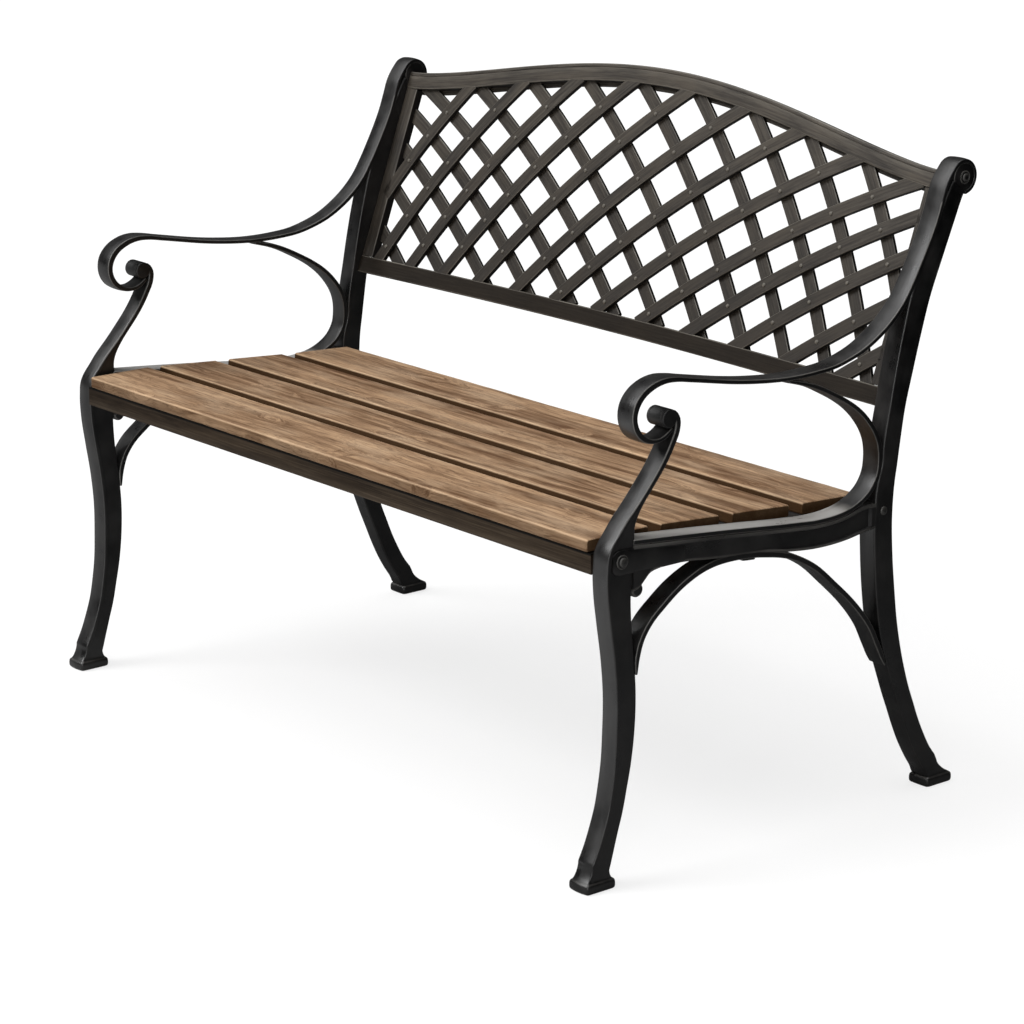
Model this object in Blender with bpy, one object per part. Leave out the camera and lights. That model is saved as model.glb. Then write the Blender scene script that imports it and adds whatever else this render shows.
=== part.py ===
"""Garden bench with two cast side frames, a slatted seat and a lattice back.

Metres, +Z up, +X along the bench to the sitter's left, the front faces -Y.  The origin is on the floor
below the middle of the bench's box.
"""
import math

import bmesh
import bpy
import numpy as np
from mathutils import Vector

# Driving dimensions
GAP = 0.0003                # clearance between pieces that touch
FRAME_X = 0.585             # middle plane of each side frame
FRAME_WIDTH = 0.030         # width along X of the frame's legs and straps
DEPTH_SHIFT = -0.03762      # from the middle of the feet to the middle of the bench's box
PAD_WIDTH = 0.038
PAD_LENGTH = 0.0505
FRONT_PAD_Y, BACK_PAD_Y = -0.2793, 0.3400
WEB_INNER, WEB_OUTER = -0.0152, 0.0140      # the seat rail's faces, as offsets from the middle plane
LEG_FLANGE = 0.005          # depth of the front leg's full-width front edge
LEG_WEB = 0.025             # the front leg's width behind that edge
TONGUE = 0.003              # thickness of the seat rail's front end, which lies on the leg's web

KNOB_Y, KNOB_Z = 0.3508, 0.8458
KNOB_RADIUS = 0.0245
KNOB_STRAP = 0.006
EYE_Y, EYE_Z = -0.1687, 0.6020
EYE_RADIUS = 0.0123
FRONT_BOLT = (-0.2465, 0.4310)
REAR_BOLT = (0.2165, 0.4140)

RECLINE = math.radians(19.9)
PANEL_Y, PANEL_Z = 0.262, 0.600     # where the back panel's own plane starts
RAIL_END = 0.5697                   # half the length of the back rails
ARCH_REACH = 0.560                  # half the length over which the rails are curved
RAIL_HEIGHT = 0.0262
END_HEIGHT, ARCH_RISE, ARCH_FULLNESS = 0.264, 0.071, 0.7    # the top rail's upper edge
LOW_EDGE_END, LOW_EDGE_RISE = -0.033, 0.007                 # the lower rail's upper edge
RAIL_FRONT, RAIL_BACK = -0.0105, 0.0048
LAYER_A = (-0.0100, -0.0020)        # depth of the front lattice layer
LAYER_B = (-0.0017, 0.0048)
SIDE_BAR_X = 0.545                  # inner edge of each side bar
STRAP_WIDTH = 0.0205
STRAP_BULGE = 0.041                 # rise of a lattice strap's arc over its chord
FIRST_FOOT_X = -0.4515              # where strap 3 starts on the lower rail
FOOT_PITCH, FOOT_SPREAD = 0.078, 0.0016     # pitch of the starts, and its growth from strap to strap
HEAD_PITCH, MIDDLE_STRAP = 0.119, 4.5       # pitch of the ends, counted from the bench's middle
FIRST_STRAP, LAST_STRAP = 1, 13      # straps counted along the back

SLAT_LENGTH = 1.126
SLAT_WIDTH = 0.103
SLAT_THICKNESS = 0.0165
# front edge (y, z) and slope of each slat's top face
SLATS = ((-0.2720, 0.4555, 0.000), (-0.1485, 0.4545, -0.073),
         (-0.0235, 0.4459, -0.072), (0.1020, 0.4370, -0.051))

BLACK = (0.012, 0.012, 0.013, 1.0)
BRONZE = (0.060, 0.054, 0.048, 1.0)
STEEL = (0.095, 0.088, 0.078, 1.0)
TEAK = (0.220, 0.130, 0.075, 1.0)

# Side frame outlines in (y, z), y from the middle of the feet.  Each row is a point of the middle
# line and the thickness there.
FRONT_LEG = (
    (-0.2765, 0.0310, 0.0330), (-0.2688, 0.0500, 0.0300), (-0.2595, 0.0750, 0.0290),
    (-0.2515, 0.1000, 0.0288), (-0.2451, 0.1300, 0.0295), (-0.2398, 0.1600, 0.0315),
    (-0.2360, 0.2000, 0.0345), (-0.2348, 0.2500, 0.0356), (-0.2388, 0.3000, 0.0360),
    (-0.2452, 0.3500, 0.0385), (-0.2482, 0.3900, 0.0435), (-0.2465, 0.4180, 0.0490),
    (-0.2430, 0.4380, 0.0510), (-0.2405, 0.4500, 0.0430), (-0.2375, 0.4620, 0.0300),
    (-0.2325, 0.4750, 0.0200), (-0.2240, 0.4885, 0.0130),
    (-0.2125, 0.5030, 0.0092), (-0.1995, 0.5180, 0.0086), (-0.1845, 0.5355, 0.0090),
    (-0.1725, 0.5520, 0.0096), (-0.1625, 0.5690, 0.0100), (-0.1553, 0.5845, 0.0102),
    (-0.1545, 0.5985, 0.0100), (-0.1605, 0.6068, 0.0095), (-0.1690, 0.6088, 0.0080))
BACK_LEG = (
    (0.3253, 0.0320, 0.0296), (0.3120, 0.0500, 0.0280), (0.2975, 0.0750, 0.0280),
    (0.2855, 0.1000, 0.0275), (0.2749, 0.1255, 0.0276), (0.2643, 0.1510, 0.0280),
    (0.2535, 0.1810, 0.0295), (0.2440, 0.2100, 0.0322), (0.2338, 0.2500, 0.0350),
    (0.2260, 0.3000, 0.0360), (0.2207, 0.3500, 0.0352), (0.2184, 0.4000, 0.0344),
    (0.2216, 0.4500, 0.0335), (0.2272, 0.4750, 0.0300), (0.2299, 0.5000, 0.0318),
    (0.2395, 0.5550, 0.0310), (0.2498, 0.6000, 0.0340), (0.2625, 0.6500, 0.0362),
    (0.2775, 0.7000, 0.0375), (0.3010, 0.7500, 0.0330), (0.3238, 0.8000, 0.0310),
    (0.3330, 0.8200, 0.0300), (0.3420, 0.8360, 0.0280))
ARMREST = (
    (-0.1625, 0.5885, 0.0055), (-0.1725, 0.5808, 0.0065), (-0.1830, 0.5768, 0.0065),
    (-0.1945, 0.5765, 0.0070), (-0.2055, 0.5797, 0.0080), (-0.2160, 0.5868, 0.0092),
    (-0.2235, 0.5980, 0.0095), (-0.2260, 0.6105, 0.0097), (-0.2232, 0.6235, 0.0104),
    (-0.2135, 0.6365, 0.0102), (-0.1950, 0.6470, 0.0096), (-0.1740, 0.6512, 0.0086),
    (-0.1555, 0.6500, 0.0076), (-0.1315, 0.6455, 0.0070), (-0.0980, 0.6390, 0.0068),
    (-0.0620, 0.6322, 0.0068), (-0.0200, 0.6260, 0.0067), (0.0360, 0.6210, 0.0065),
    (0.0910, 0.6214, 0.0065), (0.1190, 0.6237, 0.0065), (0.1470, 0.6300, 0.0067),
    (0.1745, 0.6393, 0.0071), (0.2030, 0.6545, 0.0076), (0.2265, 0.6715, 0.0080),
    (0.2475, 0.6925, 0.0081), (0.2640, 0.7167, 0.0081), (0.2780, 0.7410, 0.0080),
    (0.2920, 0.7672, 0.0079), (0.3032, 0.7912, 0.0077), (0.3117, 0.8150, 0.0073),
    (0.3200, 0.8385, 0.0066))
LOOP_BRACE = (
    (0.0380, 0.6172, 0.0050), (0.0717, 0.6080, 0.0064), (0.0910, 0.6010, 0.0070),
    (0.1190, 0.5875, 0.0072), (0.1470, 0.5720, 0.0072), (0.1606, 0.5630, 0.0074),
    (0.1744, 0.5518, 0.0076), (0.1875, 0.5380, 0.0078), (0.1978, 0.5240, 0.0080),
    (0.2050, 0.5090, 0.0082), (0.2080, 0.4950, 0.0082), (0.2082, 0.4800, 0.0082),
    (0.2060, 0.4660, 0.0080), (0.2003, 0.4542, 0.0078), (0.1925, 0.4447, 0.0076),
    (0.1810, 0.4362, 0.0074), (0.1610, 0.4270, 0.0072), (0.1300, 0.4212, 0.0072),
    (0.1000, 0.4202, 0.0072), (0.0500, 0.4240, 0.0072), (-0.0200, 0.4315, 0.0072),
    (-0.1000, 0.4400, 0.0072), (-0.2260, 0.4520, 0.0072))
ARCH_BRACE = (
    (-0.2190, 0.2770, 0.0040), (-0.2172, 0.3000, 0.0084), (-0.2092, 0.3230, 0.0085),
    (-0.1965, 0.3405, 0.0085), (-0.1711, 0.3612, 0.0085), (-0.1498, 0.3757, 0.0085),
    (-0.1285, 0.3865, 0.0087), (-0.1072, 0.3942, 0.0090), (-0.0860, 0.3985, 0.0094),
    (-0.0647, 0.3998, 0.0095), (-0.0434, 0.3994, 0.0095), (-0.0200, 0.3973, 0.0092),
    (0.0000, 0.3940, 0.0090), (0.0480, 0.3822, 0.0086), (0.0900, 0.3608, 0.0085),
    (0.1300, 0.3278, 0.0085), (0.1700, 0.2905, 0.0085), (0.1860, 0.2725, 0.0085),
    (0.2010, 0.2520, 0.0085), (0.2120, 0.2310, 0.0085), (0.2180, 0.2195, 0.0084),
    (0.2240, 0.2070, 0.0074), (0.2295, 0.1950, 0.0030))
# Seat rail: y, then the heights of its lower and upper edges.
SEAT_RAIL = (
    (-0.2260, 0.3880, 0.4485), (-0.2170, 0.3905, 0.4478), (-0.2080, 0.3985, 0.4468),
    (-0.1980, 0.4070, 0.4458), (-0.1800, 0.4110, 0.4440), (-0.1400, 0.4107, 0.4403),
    (-0.1000, 0.4060, 0.4364), (-0.0500, 0.4010, 0.4311), (0.0000, 0.3970, 0.4258),
    (0.0500, 0.3885, 0.4204), (0.1000, 0.3840, 0.4166), (0.1500, 0.3855, 0.4195),
    (0.1800, 0.3895, 0.4262), (0.2100, 0.3930, 0.4262))


def clear_scene():
    for thing in list(bpy.data.objects):
        bpy.data.objects.remove(thing, do_unlink=True)


def make_material(name, color, roughness, metallic):
    material = bpy.data.materials.new(name)
    material.use_nodes = True
    shader = material.node_tree.nodes["Principled BSDF"]
    shader.inputs["Base Color"].default_value = color
    shader.inputs["Roughness"].default_value = roughness
    shader.inputs["Metallic"].default_value = metallic
    return material


# Curves in a plane

def smooth(rows, steps):
    """Rows along a smooth curve through the given rows, `steps` of them to each interval."""
    rows = np.array(rows, float)
    lengths = np.linalg.norm(np.diff(rows[:, :2], axis=0), axis=1)
    stations = np.concatenate(([0.0], np.cumsum(lengths)))
    slopes = np.gradient(rows, stations, axis=0)
    result = [rows[0]]
    for i, length in enumerate(lengths):
        for step in range(1, steps + 1):
            t = step / steps
            start = (2 * t**3 - 3 * t**2 + 1) * rows[i] + (t**3 - 2 * t**2 + t) * length * slopes[i]
            end = (3 * t**2 - 2 * t**3) * rows[i + 1] + (t**3 - t**2) * length * slopes[i + 1]
            result.append(start + end)
    return np.array(result)


def arc(center, radius, start, end, count, thickness):
    """Rows along a circular arc from angle `start` to angle `end`, in degrees."""
    angles = np.radians(np.linspace(start, end, count))
    return [(center[0] + radius * math.cos(a), center[1] + radius * math.sin(a), thickness)
            for a in angles]


def directions(rows):
    """Unit normals on the left-hand side of the curve."""
    tangents = np.gradient(rows[:, :2], axis=0)
    tangents /= np.linalg.norm(tangents, axis=1)[:, None]
    return np.column_stack((-tangents[:, 1], tangents[:, 0]))


def rounded_box(length, width, radius, corner_steps):
    """Outline of a box with round corners, centred on the origin, as (u, v) pairs."""
    radius = min(radius, 0.49 * length, 0.49 * width)
    outline = []
    for quarter, (side_u, side_v) in enumerate(((1, 1), (-1, 1), (-1, -1), (1, -1))):
        for step in range(corner_steps + 1):
            angle = math.radians(90 * quarter + 90 * step / corner_steps)
            outline.append((side_u * (length / 2 - radius) + radius * math.cos(angle),
                            side_v * (width / 2 - radius) + radius * math.sin(angle)))
    return outline


# Solids

def new_piece(name, rings, material, root):
    """A closed solid skinned over rings of equal point counts, with a flat cap at each end."""
    shape = bmesh.new()
    rows = [[shape.verts.new(point) for point in ring] for ring in rings]
    for low, high in zip(rows, rows[1:]):
        for i in range(len(low)):
            j = (i + 1) % len(low)
            shape.faces.new((low[i], low[j], high[j], high[i]))
    shape.faces.new(rows[0])
    shape.faces.new(rows[-1])
    bmesh.ops.recalc_face_normals(shape, faces=shape.faces)
    mesh = bpy.data.meshes.new(name)
    shape.to_mesh(mesh)
    shape.free()
    mesh.shade_smooth()
    mesh.set_sharp_from_angle(angle=math.radians(40))
    mesh.materials.append(material)
    piece = bpy.data.objects.new(name, mesh)
    bpy.context.collection.objects.link(piece)
    piece.parent = root
    return piece


def sweep_rings(rows, width, place, radius, swell=0.0):
    """Rings along rows of (a, b, thickness), `width` across; swell grows them on every side."""
    rings = []
    for (a, b, thickness), (na, nb) in zip(rows, directions(rows)):
        outline = rounded_box(thickness + 2 * swell, width + 2 * swell, radius, 1)
        rings.append([place(a + u * na, b + u * nb, v) for u, v in outline])
    return rings


def frame_place(side):
    """Maps (y, z, outward offset from the frame's middle plane) to a point."""
    return lambda y, z, offset: Vector((side * (FRAME_X + offset), y, z))


def shifted(place, middle):
    return lambda a, b, offset: place(a, b, middle + offset)


def panel_place(x, s, depth):
    """Maps the back panel's own x, distance up its slope and depth behind its plane to a point."""
    return Vector((x,
                   PANEL_Y + s * math.sin(RECLINE) + depth * math.cos(RECLINE),
                   PANEL_Z + s * math.cos(RECLINE) - depth * math.sin(RECLINE)))


def slab_place(low, high):
    """Panel mapping for a member that spans the depths `low` to `high`."""
    return shifted(panel_place, (low + high) / 2)


def disc_rings(radii_heights, center, place, sides):
    """Rings of a turned solid about the frame's outward axis through center (y, z)."""
    rings = []
    for radius, height in radii_heights:
        rings.append([place(center[0] + radius * math.cos(2 * math.pi * i / sides),
                            center[1] + radius * math.sin(2 * math.pi * i / sides), height)
                      for i in range(sides)])
    return rings


def combine(piece, other, operation):
    other.hide_render = True
    other.display_type = "WIRE"
    modifier = piece.modifiers.new(operation.title(), "BOOLEAN")
    modifier.operation = operation
    modifier.object = other


# Side frames

def pad_rings(middle_y, place, corner_steps):
    """Foot pad: a flat sole, a short wall and a slope towards the leg."""
    rings = []
    for z, inset in ((0.0, 0.0025), (0.0015, 0.0006), (0.0050, 0.0), (0.0105, 0.0), (0.0140, 0.0030)):
        outline = rounded_box(PAD_LENGTH - 2 * inset, PAD_WIDTH - 2 * inset, 0.003, corner_steps)
        rings.append([place(middle_y - u, z, v) for u, v in outline])
    return rings


def flanged_section(depth, recess, swell):
    """A leg's section: full width along its front edge, `recess` less on each side behind it."""
    half, front = FRAME_WIDTH / 2 + swell, depth / 2 + swell
    web, bevel = half - recess, 0.0015
    step = depth / 2 - min(LEG_FLANGE, 0.5 * depth) - swell
    side = [(front, half - bevel), (front - bevel, half), (step, half),
            (step - 0.0005, web), (2 * bevel - front, web), (-front, web - 2 * bevel)]
    return side + [(u, -v) for u, v in reversed(side)]


def front_leg_rings(place, swell=0.0):
    """The web is recessed below the seat and runs out to full width above it and at the foot."""
    rows = smooth(FRONT_LEG, 2)
    rings = []
    for (y, z, depth), (ny, nz) in zip(rows, directions(rows)):
        fade = min(max((0.480 - z) / 0.030, 0.0), max((z - 0.035) / 0.040, 0.0), 1.0)
        outline = flanged_section(depth, fade * (FRAME_WIDTH - LEG_WEB) / 2, swell)
        rings.append([place(y + u * ny, z + u * nz, v) for u, v in outline])
    return rings


def back_leg_rings(place, swell=0.0):
    return sweep_rings(smooth(BACK_LEG, 2), FRAME_WIDTH, place, 0.0035, swell)


def armrest_rows():
    """The armrest's middle line, ending in the strap that wraps over the knob."""
    wrap = arc((KNOB_Y, KNOB_Z), KNOB_RADIUS - KNOB_STRAP / 2, 150, -82, 9, KNOB_STRAP)
    return smooth(ARMREST + tuple(wrap), 2)


def rail_rings(place, rows):
    place = shifted(place, (WEB_INNER + WEB_OUTER) / 2)
    rings = []
    for y, low, high in rows:
        outline = rounded_box(high - low, WEB_OUTER - WEB_INNER, 0.003, 1)
        rings.append([place(y, (low + high) / 2 + u, v) for u, v in outline])
    return rings


def build_side_frame(side, label, black, root):
    place = frame_place(side)

    def piece(name, rings):
        return new_piece(name + "_" + label, rings, black, root)

    def strap(name, rows, swell=0.0):
        return piece(name, sweep_rings(rows, FRAME_WIDTH, place, 0.0016, swell))

    arm_rows = armrest_rows()
    loop_rows = smooth(LOOP_BRACE, 2)
    arch_rows = smooth(ARCH_BRACE, 2)
    half = FRAME_WIDTH / 2

    # Grown copies of each member trim the pieces that meet it.
    front_leg_trim = piece("trim_front_leg", front_leg_rings(place, GAP))
    back_leg_trim = piece("trim_back_leg", back_leg_rings(place, GAP))
    eye_trim = piece("trim_eye", disc_rings(((EYE_RADIUS + GAP, -0.03), (EYE_RADIUS + GAP, 0.03)),
                                            (EYE_Y, EYE_Z), place, 24))
    arm_trim = strap("trim_armrest", arm_rows, GAP)
    loop_trim = strap("trim_loop_brace", loop_rows, GAP)
    arch_trim = strap("trim_arch_brace", arch_rows, GAP)

    front_leg = piece("front_leg", pad_rings(FRONT_PAD_Y, place, 2) + front_leg_rings(place))
    eye = piece("eye", disc_rings(((EYE_RADIUS - 0.0015, -half), (EYE_RADIUS, -half + 0.0015),
                                   (EYE_RADIUS, half - 0.0015), (EYE_RADIUS - 0.0015, half)),
                                  (EYE_Y, EYE_Z), place, 20))
    combine(front_leg, eye, "UNION")

    core = KNOB_RADIUS - KNOB_STRAP - GAP
    back_leg = piece("back_leg", pad_rings(BACK_PAD_Y, place, 1) + back_leg_rings(place))
    knob = piece("knob", disc_rings(((core - 0.0015, -half), (core, -half + 0.0015),
                                     (core, half - 0.0015), (core - 0.0015, half)),
                                    (KNOB_Y, KNOB_Z), place, 28))
    combine(back_leg, knob, "UNION")
    combine(back_leg, arm_trim, "DIFFERENCE")

    armrest = strap("armrest", arm_rows)
    combine(armrest, front_leg_trim, "DIFFERENCE")
    combine(armrest, eye_trim, "DIFFERENCE")

    loop_brace = strap("loop_brace", loop_rows)
    combine(loop_brace, arm_trim, "DIFFERENCE")
    combine(loop_brace, back_leg_trim, "DIFFERENCE")
    combine(loop_brace, front_leg_trim, "DIFFERENCE")

    arch_brace = strap("arch_brace", arch_rows)
    combine(arch_brace, front_leg_trim, "DIFFERENCE")
    combine(arch_brace, back_leg_trim, "DIFFERENCE")

    # Seat rail: the web, a round lug below its front end and a tongue over the front leg's web.
    seat_rail = piece("seat_rail", rail_rings(place, SEAT_RAIL))
    lug = piece("lug", disc_rings(((0.0085, -0.011), (0.0095, -0.010), (0.0095, 0.010), (0.0085, 0.011)),
                                  (-0.2160, 0.3875), place, 16))
    tongue_rows = smooth(((-0.2640, 0.4300, 0.0140), (-0.2600, 0.4300, 0.0260), (-0.2500, 0.4300, 0.0360),
                          (-0.2350, 0.4280, 0.0390), (-0.2150, 0.4255, 0.0360), (-0.1800, 0.4262, 0.0270),
                          (-0.1400, 0.4238, 0.0230)), 1)
    tongue = piece("tongue", sweep_rings(tongue_rows, TONGUE, shifted(place, LEG_WEB / 2 + GAP + TONGUE / 2),
                                         0.0008))
    combine(seat_rail, lug, "UNION")
    combine(seat_rail, tongue, "UNION")
    for cutter in (front_leg_trim, back_leg_trim, loop_trim, arch_trim):
        combine(seat_rail, cutter, "DIFFERENCE")

    clip_rows = smooth(((-0.0330, 0.3910, 0.0030), (-0.0220, 0.3902, 0.0036), (-0.0110, 0.3890, 0.0030)), 1)
    clip = piece("arch_clip", sweep_rings(clip_rows, 0.018, place, 0.0008))
    combine(clip, arch_trim, "DIFFERENCE")

    build_seat_ledge(side, label, black, root)


def build_seat_ledge(side, label, material, root):
    """Angle bar inside the seat rail: the slats' ends rest on its flange."""
    place = frame_place(side)
    flange, outer, wall, drop = -0.0500, -0.0155, 0.0036, 0.0290
    stations = [(y + along, z + slope * along) for y, z, slope in SLATS for along in (0, SLAT_WIDTH)]
    stations[0] = (-0.2445, SLATS[0][1])
    stations[-1] = (0.1985, stations[-1][1])
    rings = []
    for y, z in stations:
        top = z - SLAT_THICKNESS - GAP
        outline = ((flange, top), (outer, top), (outer, top - drop), (outer - wall, top - drop),
                   (outer - wall, top - wall), (flange, top - wall))
        rings.append([place(y, height, offset) for offset, height in outline])
    new_piece("seat_ledge_" + label, rings, material, root)


def build_bolts(name, center, base, profile, sides, material, root):
    """The same bolt head on both side frames, standing out from the height `base`."""
    for side, label in ((1, "right"), (-1, "left")):
        rings = disc_rings([(r, base + GAP + h) for r, h in profile], center, frame_place(side), sides)
        new_piece(name + "_" + label, rings, material, root)


# Seat

def build_slat(number, y, z, slope, material, root):
    """A plank with rounded edges whose top face starts at (y, z) and falls by slope."""
    tilt = math.atan(slope)
    along = Vector((0, math.cos(tilt), math.sin(tilt)))
    up = Vector((0, -math.sin(tilt), math.cos(tilt)))
    middle = Vector((0, y, z)) + along * SLAT_WIDTH / 2 - up * SLAT_THICKNESS / 2
    rings = []
    half = SLAT_LENGTH / 2
    for x, inset in ((-half, 0.0015), (-half + 0.0015, 0.0), (half - 0.0015, 0.0), (half, 0.0015)):
        outline = rounded_box(SLAT_WIDTH - 2 * inset, SLAT_THICKNESS - 2 * inset, 0.003, 2)
        rings.append([middle + Vector((x, 0, 0)) + along * u + up * v for u, v in outline])
    return new_piece("slat_%d" % number, rings, material, root)


def build_front_stretcher(material, root):
    """Angle bar under the front slat, between the front legs."""
    front, depth, wall = -0.2712, 0.0250, 0.0045
    top = SLATS[0][1] - SLAT_THICKNESS - GAP
    low = top - 0.0270
    outline = ((front, low), (front + wall, low), (front + wall, top - wall),
               (front + depth, top - wall), (front + depth, top), (front, top))
    rings = [[Vector((x, y, z)) for y, z in outline] for x in (-RAIL_END, RAIL_END)]
    return new_piece("front_stretcher", rings, material, root)


# Back

def top_edge(x):
    """Height of the top rail's upper edge: an arch that turns level at its ends."""
    reach = min(abs(x) / ARCH_REACH, 1.0)
    return END_HEIGHT + ARCH_RISE * (0.5 + 0.5 * math.cos(math.pi * reach)) ** ARCH_FULLNESS


def under_top_rail(x):
    return top_edge(x) - RAIL_HEIGHT


def low_edge(x):
    """Height of the lower rail's upper edge, slightly cambered."""
    reach = min(abs(x) / ARCH_REACH, 1.0)
    return LOW_EDGE_END + LOW_EDGE_RISE * math.cos(math.pi / 2 * reach)


def rail_rows(height_at, height, count):
    stations = [-RAIL_END, *np.linspace(-ARCH_REACH, ARCH_REACH, count), RAIL_END]
    return np.array([(x, height_at(x), height) for x in stations])


def build_back_rails(material, root):
    depth = RAIL_BACK - RAIL_FRONT
    place = slab_place(RAIL_FRONT, RAIL_BACK)
    top = rail_rows(lambda x: top_edge(x) - RAIL_HEIGHT / 2, RAIL_HEIGHT, 31)
    new_piece("top_rail", sweep_rings(top, depth, place, 0.0022), material, root)
    low = rail_rows(lambda x: low_edge(x) - RAIL_HEIGHT / 2, RAIL_HEIGHT, 9)
    new_piece("lower_rail", sweep_rings(low, depth, place, 0.0022), material, root)
    strip = rail_rows(under_top_rail, 0.0120, 31)
    strip_place = slab_place(RAIL_BACK + GAP, RAIL_BACK + GAP + 0.0035)
    new_piece("top_inner_strip", sweep_rings(strip, 0.0035, strip_place, 0.0006), material, root)
    for side, label in ((1, "right"), (-1, "left")):
        x = side * (SIDE_BAR_X + RAIL_END) / 2
        rows = np.array([(x, s, RAIL_END - SIDE_BAR_X)
                         for s in (low_edge(SIDE_BAR_X) + GAP, under_top_rail(RAIL_END) - GAP)])
        bar_place = slab_place(LAYER_A[0], LAYER_B[1])
        rings = sweep_rings(rows, LAYER_B[1] - LAYER_A[0], bar_place, 0.0012)
        new_piece("side_bar_" + label, rings, material, root)


def strap_curve(number, count=8):
    """Middle line of one strap that rises to the right, from the lower rail's line to the top rail."""
    step = number - 3
    bottom = np.array((FIRST_FOOT_X + FOOT_PITCH * step + FOOT_SPREAD * step**2, LOW_EDGE_END - 0.001))
    top_x = HEAD_PITCH * (number - MIDDLE_STRAP)
    top = np.array((top_x, under_top_rail(min(top_x, ARCH_REACH)) + 0.004))
    chord = top - bottom
    bulge = STRAP_BULGE * np.array((-chord[1], chord[0]))
    overrun = 0.02 * chord
    points = []
    for t in np.linspace(0, 1, count):
        points.append(bottom - overrun + t * (chord + 2 * overrun) + 4 * t * (1 - t) * bulge)
    return np.array(points)


def mirrored(curve):
    return curve * np.array((-1, 1))


def window_rings(low, high):
    """The opening between the back's rails and side bars, over the depths low to high."""
    reach = SIDE_BAR_X - GAP
    rings = []
    for x in np.linspace(-reach, reach, 33):
        bottom, top = low_edge(x) + GAP, under_top_rail(x) - GAP
        rings.append([panel_place(x, s, d) for s, d in ((bottom, low), (bottom, high),
                                                       (top, high), (top, low))])
    return rings


def build_lattice(material, root):
    window = new_piece("trim_window", window_rings(-0.02, 0.02), material, root)
    for number in range(FIRST_STRAP, LAST_STRAP + 1):
        rising = strap_curve(number)
        layers = (("rising", rising, LAYER_A), ("falling", mirrored(rising), LAYER_B))
        for label, curve, (low, high) in layers:
            rows = np.column_stack((curve, np.full(len(curve), STRAP_WIDTH)))
            rings = sweep_rings(rows, high - low, slab_place(low, high), 0.0)
            strap = new_piece("lattice_%s_%02d" % (label, number), rings, material, root)
            combine(strap, window, "INTERSECT")


def build_bench():
    clear_scene()
    root = bpy.data.objects.new("bench", None)
    root.location = (0, DEPTH_SHIFT, 0)
    bpy.context.collection.objects.link(root)
    black = make_material("black_paint", BLACK, 0.42, 0.25)
    bronze = make_material("bronze_paint", BRONZE, 0.48, 0.35)
    steel = make_material("steel", STEEL, 0.45, 0.60)
    teak = make_material("teak", TEAK, 0.62, 0.0)
    for side, label in ((1, "right"), (-1, "left")):
        build_side_frame(side, label, black, root)
    half = FRAME_WIDTH / 2
    build_bolts("rail_front_bolt", FRONT_BOLT, LEG_WEB / 2 + GAP + TONGUE,
                ((0.0095, 0.0), (0.0095, 0.0012), (0.0062, 0.0014), (0.0058, 0.0036), (0.0035, 0.0046)),
                12, steel, root)
    build_bolts("rail_rear_bolt", REAR_BOLT, half,
                ((0.0060, 0.0), (0.0052, 0.0016), (0.0028, 0.0026)), 12, steel, root)
    build_bolts("knob_bolt", (KNOB_Y, KNOB_Z), half,
                ((0.0090, 0.0), (0.0084, 0.0014), (0.0056, 0.0014), (0.0050, 0.0028), (0.0030, 0.0034)),
                14, steel, root)
    for number, (y, z, slope) in enumerate(SLATS, 1):
        build_slat(number, y, z, slope, teak, root)
    build_front_stretcher(steel, root)
    build_back_rails(bronze, root)
    build_lattice(bronze, root)


build_bench()
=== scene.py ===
"""Garden bench: the visual model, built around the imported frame.

Metres, +Z up, +X along the bench, the front faces -Y, as in the frame.
"""
import math

import bmesh
import bpy
import numpy as np
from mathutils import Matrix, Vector, noise


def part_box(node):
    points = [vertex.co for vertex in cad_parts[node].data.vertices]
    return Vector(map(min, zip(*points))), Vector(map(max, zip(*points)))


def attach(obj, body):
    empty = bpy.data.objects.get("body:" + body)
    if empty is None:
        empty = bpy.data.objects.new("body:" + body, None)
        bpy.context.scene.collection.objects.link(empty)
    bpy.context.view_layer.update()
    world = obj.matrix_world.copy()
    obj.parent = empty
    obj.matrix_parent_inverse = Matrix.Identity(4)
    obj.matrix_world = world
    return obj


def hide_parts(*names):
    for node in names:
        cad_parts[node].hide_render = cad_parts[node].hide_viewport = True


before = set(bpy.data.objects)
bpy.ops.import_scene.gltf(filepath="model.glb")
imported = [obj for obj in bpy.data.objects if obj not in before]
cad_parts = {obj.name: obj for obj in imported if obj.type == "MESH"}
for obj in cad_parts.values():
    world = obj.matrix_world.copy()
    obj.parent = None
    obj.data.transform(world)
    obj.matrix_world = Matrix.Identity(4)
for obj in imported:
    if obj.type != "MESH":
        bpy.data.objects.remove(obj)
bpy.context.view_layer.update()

GAP = 0.0003                        # clearance between pieces that touch

# The frame gives the places.  Outlines in y count from the middle of the feet, which is one pad
# reach behind the front of the front feet.
PAD_WIDTH, PAD_LENGTH = 0.038, 0.0505
FRONT_PAD_Y, BACK_PAD_Y = -0.2793, 0.34
LEG_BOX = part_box("front_leg_right")
MIDDLE_Y = LEG_BOX[0][1] - (FRONT_PAD_Y - PAD_LENGTH / 2)
FRAME_X = (LEG_BOX[0][0] + LEG_BOX[1][0]) / 2
FRAME_WIDTH = 0.03
HALF = FRAME_WIDTH / 2
LEG_FLANGE = 0.005
LEG_WEB = 0.025
TONGUE = 0.003

KNOB = (0.3508, 0.8458)
KNOB_RADIUS = 0.0245
KNOB_STRAP = 0.006
EYE = (-0.1687, 0.602)
EYE_RADIUS = 0.0123
FRONT_BOLT = (-0.2465, 0.431)
REAR_BOLT = (0.2165, 0.414)

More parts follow.
